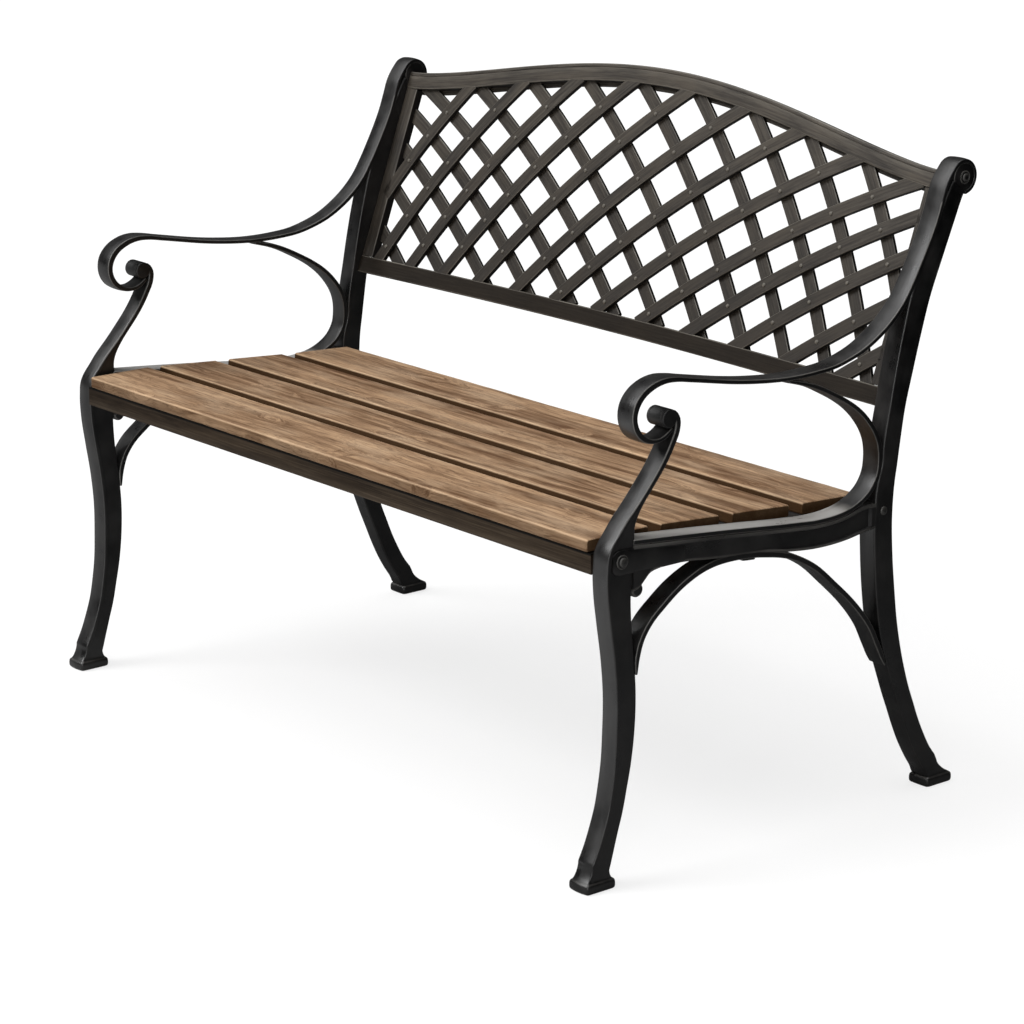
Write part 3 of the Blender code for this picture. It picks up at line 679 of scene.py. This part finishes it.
def pad_rings(first, row, tangent, pad_y, place):
    """A foot pad and the hollow flare up to the leg's first section."""
    reach_u = max(u for u, _, _ in first)
    reach_v = max(v for _, v, _ in first)

    def on_pad(u, v, grow):
        return pad_y - u / reach_u * (PAD_LENGTH / 2 + grow), v / reach_v * (PAD_WIDTH / 2 + grow)

    def wall_point(u, v, z, grow):
        y, offset = on_pad(u, v, grow)
        return place(y, z, offset)

    def flare_point(u, v, t):
        y, offset = on_pad(u, v, FLARE_INSET)
        leg_y, leg_z = row[0] - u * tangent[1], row[1] + u * tangent[0]
        spread = (1 - t)**2.0
        return place(leg_y + (y - leg_y) * spread, PAD_TOP + (leg_z - PAD_TOP) * t,
                     v + (offset - v) * spread)

    rings = []
    for z, grow, wear_and_highlight in PAD_WALL:
        rings.append(section_ring(evenly_worn_and_highlit(first, wear_and_highlight), lambda u, v: wall_point(u, v, z, grow), z))
    for t in FLARE_STATIONS:
        rings.append(section_ring(evenly_worn_and_highlit(first, 0.0), lambda u, v: flare_point(u, v, t),
                                  PAD_TOP + FLARE_RISE * t))
    return rings


def front_leg_rings(place):
    rows = smooth(FRONT_LEG, 0.005)
    tangents, along = tangents_of(rows), travelled(rows)
    rings = []
    for (y, z, depth), tangent, station in zip(rows, tangents, along):
        fade = min(1 - ease(z, 0.44, 0.484), ease(z, 0.035, 0.085))
        section = flanged_section(depth, fade * (FRAME_WIDTH - LEG_WEB) / 2, LEG_CROWN)
        # painted shade on the sides: weak low down, full on the strut above
        strength = LEG_SIDE_SHADE + (1 - LEG_SIDE_SHADE) * ease(z, 0.47, 0.5)
        shade = [strength * dark for dark in side_shade(section, True)]
        # edge wear and painted highlight, weaker on the lower leg
        wear_and_highlight = LEG_EDGE_WEAR_AND_HIGHLIGHT + (1 - LEG_EDGE_WEAR_AND_HIGHLIGHT) * ease(z, 0.44, 0.5)
        section = [(u, v, wear_and_highlight * sharp) for u, v, sharp in section]
        rings.append(section_ring(section, lambda u, v: place(y - u * tangent[1], z + u * tangent[0], v),
                                  LEG_START + station, shade))
    first = flanged_section(rows[0][2], 0.0, LEG_CROWN)
    return pad_rings(first, rows[0], tangents[0], FRONT_PAD_Y, place) + rings


def back_leg_rings(place):
    rows = smooth(BACK_LEG, 0.006)
    tangents = tangents_of(rows)
    shaft = sweep(rows, FRAME_WIDTH, place, BACK_LEG_CORNER, BACK_LEG_CROWN, 0.001, LEG_START, "v")
    for ring in soften_wear_and_highlight(shaft, 0.0, LEG_EDGE_WEAR_AND_HIGHLIGHT):
        ring.shade = [LEG_SIDE_SHADE * dark for dark in ring.shade]
    first = box_section(rows[0][2], FRAME_WIDTH, BACK_LEG_CORNER, BACK_LEG_CROWN)
    return pad_rings(first, rows[0], tangents[0], BACK_PAD_Y, place) + shaft[END_RINGS:]


def armrest_rows():
    wrap = arc(KNOB, KNOB_RADIUS - KNOB_STRAP / 2, 150, -82, 9, KNOB_STRAP)
    return smooth(ARMREST + tuple(wrap), 0.0045)


def rail_section(low, high, recess):
    """The seat rail's section as (height, offset, edge): ribs along the outer face's edges."""
    outer, inner = HALF, RAIL_INNER
    panel = outer - recess
    return ((high, outer - 0.001, 0.6), (high - 0.001, outer, 0.8), (high - 0.0046, outer, 0.7),
            (high - 0.0052, outer - 0.3 * recess, 0.4), (high - 0.0066, panel, 0.0),
            ((low + high) / 2, panel, 0.0), (low + 0.005, panel, 0.0),
            (low + 0.0038, outer - 0.3 * recess, 0.4), (low + 0.0032, outer, 0.7),
            (low + 0.0012, outer, 0.8), (low, outer - 0.0012, 0.6), (low, inner + 0.0012, 0.6),
            (low + 0.0012, inner, 0.8), ((low + high) / 2, inner, 0.0), (high - 0.001, inner, 0.8),
            (high, inner + 0.001, 0.6))


def seat_rail_rings(place):
    rows = [row for row in smooth(SEAT_RAIL, 0.004) if row[0] < RAIL_REAR_END]
    rings = []
    for y, low, high in rows:
        recess = 0.003 * ease(y, -0.03, 0.04) * (1 - ease(y, 0.1915, 0.1935))
        rings.append(section_ring(rail_section(low, high, recess),
                                  lambda z, offset: place(y, z, offset), y))
    return rings


def tongue_rings(place):
    """The rail's front end: a thin plate with a round nose on the leg's web."""
    center_y, center_z = FRONT_BOLT
    rows = []
    for y in np.concatenate((np.linspace(TONGUE_TIP, -0.23, 16), np.linspace(-0.225, -0.14, 18))):
        from_bolt = min(y - center_y, 0.0)
        nose = math.sqrt(max(TONGUE_NOSE**2 - from_bolt**2, 0.0))
        t = ease(y, -0.246, -0.19)
        low = (center_z - nose) * (1 - t) + 0.411 * t
        high = (center_z + nose * 0.82) * (1 - t) + (0.44 + (y + 0.19) * -0.1) * t
        rows.append((y, (low + high) / 2, high - low))
    rows = np.array(rows)
    base = LEG_WEB / 2 + GAP
    return [tongue_ring(place, row, station, base) for station, row in zip(travelled(rows), rows)]


def tongue_ring(place, row, station, base):
    """A pillow section: flat on the web, its outer face rounding down to thin edges."""
    y, z, height = row
    outer = [(height / 2 * math.cos(angle), TONGUE * math.sin(angle) ** 0.45)
             for angle in np.linspace(0.0, math.pi, 25)]
    inner = [(height / 2 * (2 * t - 1), -0.0001) for t in np.linspace(0.08, 0.92, 6)]
    return section_ring(evenly_worn_and_highlit(outer + inner, 0.0), lambda u, v: place(y, z + u, base + v), station)


def soften_wear_and_highlight(rings, start, share):
    """Keeps only a share of the edge wear and painted highlight from one place along a bar to its end.
    """
    for ring in rings:
        if ring.bar[0][0] > start:
            ring.edges = [share * edge for edge in ring.edges]
    return rings


def paint_seat_run_reflection(rings):
    """Paints a reflection on the upper face of the loop brace's run under the seat."""
    for ring in rings:
        top = min(u for _, u, _ in ring.bar)
        for i, (along, u, _) in enumerate(ring.bar):
            # painted reflection: a value of 2 turns the top face pale grey
            worn = SEAT_RUN_REFLECTION * ease(along, SEAT_RUN_START, SEAT_RUN_START + 0.04)
            if u < 0.72 * top:
                ring.edges[i] = max(ring.edges[i], worn)
    return rings


def about(place, center):
    """Maps an offset from a centre in the frame's plane, and an outward height, to a point."""
    return lambda a, b, height: place(center[0] + a, center[1] + b, height)


def eye_rings(place):
    """The drum that the front scroll ends on."""
    upper = [(EYE_RADIUS - sink, HALF - down) for sink, down in EYE_GROOVE]
    rim = round_profile(EYE_RADIUS, HALF - 0.003, HALF + 0.0012, 0.0022)
    upper += rim[len(rim) // 2:]
    lower = [(radius, -height) for radius, height in reversed(upper)]
    rings = turned(lower + upper, about(place, EYE), 40)
    for ring in rings:
        ring.shade = [EYE_SHADE] * len(ring.points)
        ring.edges = [EYE_EDGE_WEAR_AND_HIGHLIGHT * edge for edge in ring.edges]
    return rings


def knob_rings(place):
    """The core that the armrest's end wraps."""
    core = round_profile(KNOB_RADIUS - KNOB_STRAP + 0.0002, -HALF + 0.0006, HALF - 0.0006, 0.0012)
    return turned(core, about(place, KNOB), 48)


def build_side_frame(side, label):
    place = frame_place(side)
    rest = armrest_rows()
    strap = sweep(rest, FRAME_WIDTH, place, 0.0017, ARMREST_CROWN, 0.0016, 0.0, "v")
    strap = soften_wear_and_highlight(strap, travelled(rest)[-1] - KNOB_WRAP, KNOB_EDGE_WEAR_AND_HIGHLIGHT)
    loop = sweep(smooth(LOOP_BRACE, 0.005), FRAME_WIDTH, place, 0.0016, LOOP_CROWN, 0.001, 0.0, "v")
    arch = sweep(smooth(ARCH_BRACE, 0.005), FRAME_WIDTH, place, 0.0018, 0.0004, 0.001, 0.0, "v")
    lug = turned(round_profile(LUG_RADIUS, -LUG_REACH, LUG_REACH, 0.004), about(place, LUG), 32)
    clip = sweep(smooth(ARCH_CLIP, 0.004), CLIP_WIDTH, place, 0.0012, 0.0, 0.0012)
    for name, ring_sets in (("front_leg", [front_leg_rings(place), eye_rings(place)]),
                            ("back_leg", [back_leg_rings(place), knob_rings(place)]),
                            ("armrest", [strap]),
                            ("loop_brace", [paint_seat_run_reflection(loop)]),
                            ("arch_brace", [arch]),
                            ("seat_rail", [seat_rail_rings(place), tongue_rings(place), lug]),
                            ("arch_clip", [clip])):
        stand_in(name + "_" + label, ring_sets, BLACK)


# Bolt heads: (radius, height) in millimetres
RAIL_HEAD = metres(
    (9.3, -0.4), (9.5, 0.4), (9.2, 1), (8.4, 1.3), (7.4, 1.1), (6.4, 1.2), (6.2, 2.8), (5.8, 3.6),
    (4.8, 4.2), (3, 4.6), (1.2, 4.7))
REAR_HEAD = metres(
    (5.8, -0.4), (6, 0.4), (5.7, 1.1), (5, 1.7), (4, 2.2), (2.6, 2.5), (1, 2.6))
KNOB_PLUG = metres(
    (8.8, -0.8), (9, 0.4), (8.7, 1.2), (8, 1.4), (7.3, 1), (6.8, 0.2), (5.6, 0.2), (5.4, 1.8),
    (4.8, 2.7), (3.4, 3.2), (1.4, 3.4))


def build_bolt(name, center, place, base, profile):
    rings = turned([(radius, base + GAP + height) for radius, height in profile],
                   about(place, center), 36)
    stand_in(name, [rings], BOLTS)


def build_bolts():
    for side, label in SIDES:
        place = frame_place(side)
        build_bolt("rail_front_bolt_" + label, FRONT_BOLT, place, LEG_WEB / 2 + GAP + TONGUE, RAIL_HEAD)
        build_bolt("rail_rear_bolt_" + label, REAR_BOLT, place, HALF, REAR_HEAD)
        build_bolt("knob_bolt_" + label, KNOB, place, HALF, KNOB_PLUG)


# ---- seat

SLAT_EDGE = 0.006                   # depth of the strips where a slat's two top edges are looked for
SLAT_CORNER = 0.003
SLAT_END_INSET, SLAT_END_REACH = 0.0016, 0.002     # rounding of a slat's ends
LIP_WEAR, LIP_NICKS, FACE_DENTS = 0.00035, 0.00018, 0.00008


def slat_shade(section, number, from_end):
    """Painted shade of one ring: the sides in the gaps and the underside are shaded, and the ends are
    darker.
    """
    reach_u = max(u for u, _, _ in section)
    reach_v = max(v for _, v, _ in section)
    shade = []
    for u, v, _ in section:
        side = ease(abs(v), reach_v - 0.0022, reach_v - 0.0004) * ease(reach_u - u, 0.001, 0.003)
        open_front = number == 1 and v < 0
        # painted shade in the gaps and underneath
        gap_and_underside_shade = max(side * (0.48 if open_front else 1.0), ease(-u, 0.6 * reach_u, reach_u) * 0.8)
        shade.append(max(gap_and_underside_shade, 0.9 if from_end < 0.0004 else 0.0))
    return shade


def slat_place(name):
    """A slat's middle, its directions across and up, and half its length, all from the frame."""
    low, high = (Vector(corner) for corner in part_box(name))
    corners = [v.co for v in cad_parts[name].data.vertices]
    top_front = max(c.z for c in corners if c.y < low.y + SLAT_EDGE)
    top_back = max(c.z for c in corners if c.y > high.y - SLAT_EDGE)
    tilt = math.atan2(top_back - top_front, high.y - low.y - SLAT_EDGE)
    across = np.array((0, math.cos(tilt), math.sin(tilt)))
    up = np.array((0, -math.sin(tilt), math.cos(tilt)))
    middle = np.array((0, (low.y + high.y) / 2, (low.z + high.z) / 2))
    return middle, across, up, high.x


def slat_ring(number, x, from_end, middle, across, up):
    """One section of a slat, with its lips worn unevenly."""
    inset = SLAT_END_INSET * (1 - min(from_end / SLAT_END_REACH, 1.0))**2
    section = box_section(SLAT_THICKNESS, SLAT_WIDTH, SLAT_CORNER, 0.0, inset)
    points, bar = [], []
    for u, v, sharp in section:
        worn = noise.noise(Vector((x * 23.0, v * 9.0 + number * 7.1, u * 40.0)))
        fine = noise.noise(Vector((x * 90.0, v * 30.0 + number * 3.3, u * 90.0)))
        pull = sharp * (LIP_WEAR * worn + LIP_NICKS * fine) - FACE_DENTS * abs(fine)
        spot = middle + across * v * (1 - pull / (SLAT_WIDTH / 2))
        spot = spot + up * u * (1 - pull / (SLAT_THICKNESS / 2))
        points.append((x, spot[1], spot[2]))
        bar.append((x + 3.7 * number, v + 0.31 * number, u))
    return Ring(points, bar, [sharp for _, _, sharp in section], slat_shade(section, number, from_end))


def build_slat(number):
    """A plank with worn round edges."""
    name = "slat_%d" % number
    middle, across, up, half = slat_place(name)
    stations = [-half, -half + 0.0006, -half + 0.002]
    stations += list(np.linspace(-half + 0.006, half - 0.006, 90))
    stations += [half - 0.002, half - 0.0006, half]
    rings = [slat_ring(number, x, half - abs(x), middle, across, up) for x in stations]
    stand_in(name, [rings], WOOD, 50.0)


def build_front_stretcher():
    """An L-shaped bar, with a painted shadow along the top of its front face where the slat overhangs
    it.
    """
    (start, front, bottom), (end, rear, top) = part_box("front_stretcher")
    wall, corner, shadow = 0.0045, 0.0009, 0.0019
    inner, under = front + wall, top - wall
    outline = ((front + corner, bottom, 0.2), (inner - corner, bottom, 0.2),
               (inner, bottom + corner, 0.3), (inner, under, 0.0), (rear - corner, under, 0.2),
               (rear, under + corner, 0.3), (rear, top - corner, 0.3), (rear - corner, top, 0.2),
               (front + corner, top, 0.0), (front + 0.3 * corner, top - 0.3 * corner, 0.0),
               (front, top - corner, 0.0), (front, top - shadow, 0.0),
               (front, top - 1.6 * shadow, 0.0), (front, (bottom + top) / 2, 0.0),
               (front, bottom + corner, 0.2), (front + 0.3 * corner, bottom + 0.3 * corner, 0.5))
    shade = [1.0 if z > top - 1.1 * shadow else 0.0 for _, z, _ in outline]
    rings = []
    for x in np.linspace(start, end, 60):
        points = []
        for y, z, sharp in outline:
            wobble = 0.00022 * sharp * noise.noise(Vector((x * 30.0, z * 40.0, 2.0)))
            points.append((x, y + abs(wobble), z - wobble))
        rings.append(Ring(points, [(x, z, y) for y, z, _ in outline],
                          [sharp for _, _, sharp in outline], shade))
    stand_in("front_stretcher", [rings], STEEL)


# ---- back

STRIP_HEIGHT, STRIP_BACK = 0.012, 0.0038       # the strip behind the top rail, its depth from the rail
STRAP_OVERLAP = 0.009              # how far a strap's middle line runs on into the rails and side bars
RIVET_MARGIN = 0.012                # no rivets this close to the window's edge
# rivet heads rubbed bright, which also stands in for a painted glint
RIVET_WEAR_AND_GLINT = 0.9


def top_edge(x):
    reach = min(abs(x) / ARCH_REACH, 1.0)
    return END_HEIGHT + ARCH_RISE * (0.5 + 0.5 * math.cos(math.pi * reach)) ** ARCH_FULLNESS


def under_top_rail(x):
    return top_edge(x) - RAIL_HEIGHT


def low_edge(x):
    reach = min(abs(x) / ARCH_REACH, 1.0)
    return LOW_EDGE_END + LOW_EDGE_RISE * math.cos(math.pi / 2 * reach)


def rail_rows(height_at, height, count):
    stations = [-RAIL_END, *np.linspace(-ARCH_REACH, ARCH_REACH, count), RAIL_END]
    return np.array([(x, height_at(x), height) for x in stations])


def beaded_section(depth, width, radius, crown, inset):
    """A rail's section with a fine groove along the top of its front face."""
    plain = box_section(depth, width, radius, crown, inset)
    front = -(width / 2 - inset)
    top = depth / 2 - inset
    groove = [(top - 0.0052, front, 0.3), (top - 0.0057, front + 0.0009, 0.0),
              (top - 0.0063, front + 0.0009, 0.0), (top - 0.0068, front, 0.5)]
    turn = next(i for i in range(len(plain) - 1, 0, -1) if plain[i][0] < 0 and plain[i][1] < 0)
    return plain[:turn + 1] + groove[::-1] + plain[turn + 1:]


def panel_bar(name, rows, low, high, radius, seed=0.0, shape=box_section, material=BRONZE):
    place = shifted(panel_place, (low + high) / 2)
    rings = sweep(rows, high - low, place, radius, 0.0, 0.0006, seed, "u", shape)
    stand_in(name, [rings], material)


def build_back_rails():
    top = rail_rows(lambda x: top_edge(x) - RAIL_HEIGHT / 2, RAIL_HEIGHT, 121)
    panel_bar("top_rail", top, RAIL_FRONT, RAIL_BACK, 0.0026, 0.0, beaded_section)
    low = rail_rows(lambda x: low_edge(x) - RAIL_HEIGHT / 2, RAIL_HEIGHT, 41)
    panel_bar("lower_rail", low, RAIL_FRONT, RAIL_BACK, 0.0022, 2.0, box_section, DULL_SHADED_BRONZE)
    strip = rail_rows(under_top_rail, STRIP_HEIGHT, 81)
    panel_bar("top_inner_strip", strip, RAIL_BACK + GAP, RAIL_BACK + STRIP_BACK, 0.001, 4.0)
    for side, label in SIDES:
        x = side * (SIDE_BAR_X + RAIL_END) / 2
        heights = np.linspace(low_edge(SIDE_BAR_X) + GAP, under_top_rail(RAIL_END) - GAP, 40)
        rows = np.array([(x, s, RAIL_END - SIDE_BAR_X) for s in heights])
        panel_bar("side_bar_" + label, rows, LAYER_A[0], LAYER_B[1], 0.0018, 6.0 + side)


def strap_curve(number, count=60):
    """Middle line of one strap that rises to the right, from the lower rail to the top rail."""
    step = number - FIRST_FOOT_STRAP
    bottom = np.array((FIRST_FOOT_X + FOOT_PITCH * step + FOOT_SPREAD * step**2, LOW_EDGE_END - 0.001))
    top_x = HEAD_PITCH * (number - MIDDLE_STRAP)
    top = np.array((top_x, under_top_rail(min(top_x, ARCH_REACH)) + 0.004))
    chord = top - bottom
    bulge = STRAP_BULGE * np.array((-chord[1], chord[0]))
    overrun = 0.02 * chord
    points = []
    for t in np.linspace(0, 1, count):
        points.append(bottom - overrun + t * (chord + 2 * overrun) + 4 * t * (1 - t) * bulge)
    return np.array(points)


def inside_window(point):
    """Whether a strap's middle line runs on here: its ends lie hidden in the rails and side bars."""
    x, s = point
    return (abs(x) < SIDE_BAR_X + STRAP_OVERLAP
            and low_edge(x) - STRAP_OVERLAP < s < under_top_rail(x) + STRAP_OVERLAP)


def build_lattice():
    curves = []
    for number in range(FIRST_STRAP, LAST_STRAP + 1):
        rising = np.array([point for point in strap_curve(number, 90) if inside_window(point)])
        curves.append(rising)
        for label, curve, (low, high) in (("rising", rising, LAYER_A),
                                          ("falling", rising * np.array((-1, 1)), LAYER_B)):
            rows = np.column_stack((curve, np.full(len(curve), STRAP_WIDTH)))
            name = "lattice_%s_%02d" % (label, number)
            panel_bar(name, rows, low, high, 0.0013, number * 1.7 + low * 900)
    return curves


def crossing(first, second):
    """Where two polylines cross, or None."""
    for a, b in zip(first, first[1:]):
        span = second - a
        along = b - a
        beside = span[:, 0] * along[1] - span[:, 1] * along[0]
        for i in np.nonzero(beside[:-1] * beside[1:] < 0)[0]:
            share = beside[i] / (beside[i] - beside[i + 1])
            point = second[i] + share * (second[i + 1] - second[i])
            t = np.dot(point - a, along) / np.dot(along, along)
            if 0 <= t < 1:
                return point
    return None


def in_rivet_area(point):
    x, s = point
    return (abs(x) <= SIDE_BAR_X - RIVET_MARGIN
            and low_edge(x) + RIVET_MARGIN < s < under_top_rail(x) - RIVET_MARGIN)


def build_rivets(curves):
    """A low round head on each crossing inside the window."""
    dome = ((0.0029, -0.0003), (0.003, 0.0003), (0.0028, 0.001), (0.0022, 0.0016), (0.0013, 0.002),
            (0.0005, 0.0021))
    sets = []
    for rising in curves:
        for other in curves:
            point = crossing(rising, other * np.array((-1, 1)))
            if point is None or not in_rivet_area(point):
                continue
            x, s = point
            head = turned(dome, lambda a, b, height: panel_place(x + a, s + b, LAYER_A[0] - height), 14)
            for ring in head[1:]:
                ring.edges = [RIVET_WEAR_AND_GLINT] * len(ring.points)
            sets.append(head)
    piece = skin("visual_lattice_rivets", sets, BRONZE, 38.0)
    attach(piece, "root")


# ---- carried-over nodes

def dress_node(name, material):
    """A frame node that stays: its own material and softened edges."""
    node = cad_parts[name]
    node.data.materials.clear()
    node.data.materials.append(material)
    bevel = node.modifiers.new("Bevel", "BEVEL")
    bevel.width = 0.0006
    bevel.segments = 2
    bevel.limit_method = "ANGLE"


def plain_black():
    """The black paint for carried-over nodes, which have no bar coordinates."""
    s = Shader("black_angle_bar")
    place = s.place()
    patches = s.noise(place, 40.0, 4.0)
    grit = s.noise(place, 600.0, 2.0)
    s.set(Base_Color=s.mix(s.ramp(patches, 0.35, 0.7), (0.006, 0.0058, 0.0055), (0.02, 0.018, 0.016)),
          Roughness=s.ramp(patches, 0.3, 0.7, 0.42, 0.6), Normal=s.bump(grit, 0.3, 0.0002))
    return s.made


# ---- stage

def floor_shader():
    """Pale floor.  What it throws back on the bench is strongest in front and falls off all round."""
    s = Shader("floor_paint")
    place = s.place()
    tone = s.noise(place, 0.6, 2.0)
    s.set(Base_Color=s.mix(tone, (0.247, 0.247, 0.247), (0.253, 0.253, 0.253)), Roughness=0.9,
          Specular_IOR_Level=0.0, Emission_Color=(1.0, 1.0, 1.0), Emission_Strength=FLOOR_GLOW)
    split = s.node("SeparateXYZ", Vector=place)
    across, back = split.outputs["X"], split.outputs["Y"]
    toward_light = s.plus(s.times(across, FLOOR_LIT_X), s.times(back, FLOOR_LIT_Y))
    near = s.ramp(toward_light, -2.5, -0.3, 0.0, FLOOR_NEAR)
    returned = s.plus(near, s.ramp(toward_light, 0.1, 0.9, 0.0, FLOOR_FRONT))
    returned = s.times(returned, s.ramp(across, -0.9, 0.3, 0.34, 1.0))
    grey = s.node("CombineXYZ", X=returned, Y=returned, Z=returned).outputs["Vector"]
    blend = s.node("MixShader", Fac=s.node("LightPath").outputs["Is Camera Ray"])
    s.put(blend.inputs[1], s.node("BsdfDiffuse", Color=grey).outputs["BSDF"])
    s.put(blend.inputs[2], s.surface.outputs["BSDF"])
    s.put(s.tree.nodes["Material Output"].inputs["Surface"], blend.outputs["Shader"])
    return s.made


def build_world():
    """Even studio air: bright overhead and at the back left, dim at the front right."""
    s = Shader("studio", "worlds", "Background")
    bpy.context.scene.world = s.made
    direction = s.node("TexCoord").outputs["Generated"]
    facing = s.math("DOT_PRODUCT", direction, WORLD_BRIGHT_SIDE, "VectorMath")
    s.set(Strength=s.ramp(facing, WORLD_START, WORLD_END, WORLD_DIM, WORLD_BRIGHT))


def toward(azimuth, elevation):
    """Unit direction at degrees to the right of the front, and above the floor."""
    turn, rise = math.radians(azimuth), math.radians(elevation)
    return Vector((math.sin(turn) * math.cos(rise), -math.cos(turn) * math.cos(rise), math.sin(rise)))


def build_lamp(name, azimuth, elevation, spread, strength):
    """A distant soft lamp, so that the floor is lit alike everywhere."""
    data = bpy.data.lights.new(name, "SUN")
    data.energy = strength
    data.angle = math.radians(spread)
    lamp = bpy.data.objects.new(name, data)
    lamp.rotation_euler = toward(azimuth, elevation).to_track_quat("Z", "Y").to_euler()
    bpy.context.collection.objects.link(lamp)


def build_stage():
    mesh = bpy.data.meshes.new("floor")
    corners = [(x * FLOOR_REACH, y * FLOOR_REACH, 0) for x, y in ((-1, -1), (1, -1), (1, 1), (-1, 1))]
    mesh.from_pydata(corners, [], [(0, 1, 2, 3)])
    mesh.materials.append(floor_shader())
    floor = bpy.data.objects.new("floor", mesh)
    bpy.context.collection.objects.link(floor)
    build_world()
    for lamp in LAMPS:
        build_lamp(*lamp)
    bpy.context.scene.view_settings.view_transform = "Standard"


def build_camera():
    """A long lens at the front right, a little above the bench."""
    direction = toward(CAMERA_AZIMUTH, CAMERA_ELEVATION)
    data = bpy.data.cameras.new("camera")
    data.sensor_width = 36.0
    data.lens = CAMERA_LENS
    data.clip_end = 200.0
    camera = bpy.data.objects.new("camera", data)
    camera.location = Vector((0.0, MIDDLE_Y + AIM_Y, AIM_Z)) + CAMERA_DISTANCE * direction
    camera.rotation_euler = (-direction).to_track_quat("-Z", "Y").to_euler()
    bpy.context.collection.objects.link(camera)
    bpy.context.scene.camera = camera


for SIDE, LABEL in SIDES:
    build_side_frame(SIDE, LABEL)
build_bolts()
for NUMBER in range(1, 5):
    build_slat(NUMBER)
build_front_stretcher()
build_back_rails()
build_rivets(build_lattice())
LEDGE_PAINT = plain_black()
for SIDE, LABEL in SIDES:
    dress_node("seat_ledge_" + LABEL, LEDGE_PAINT)
build_stage()
build_camera()
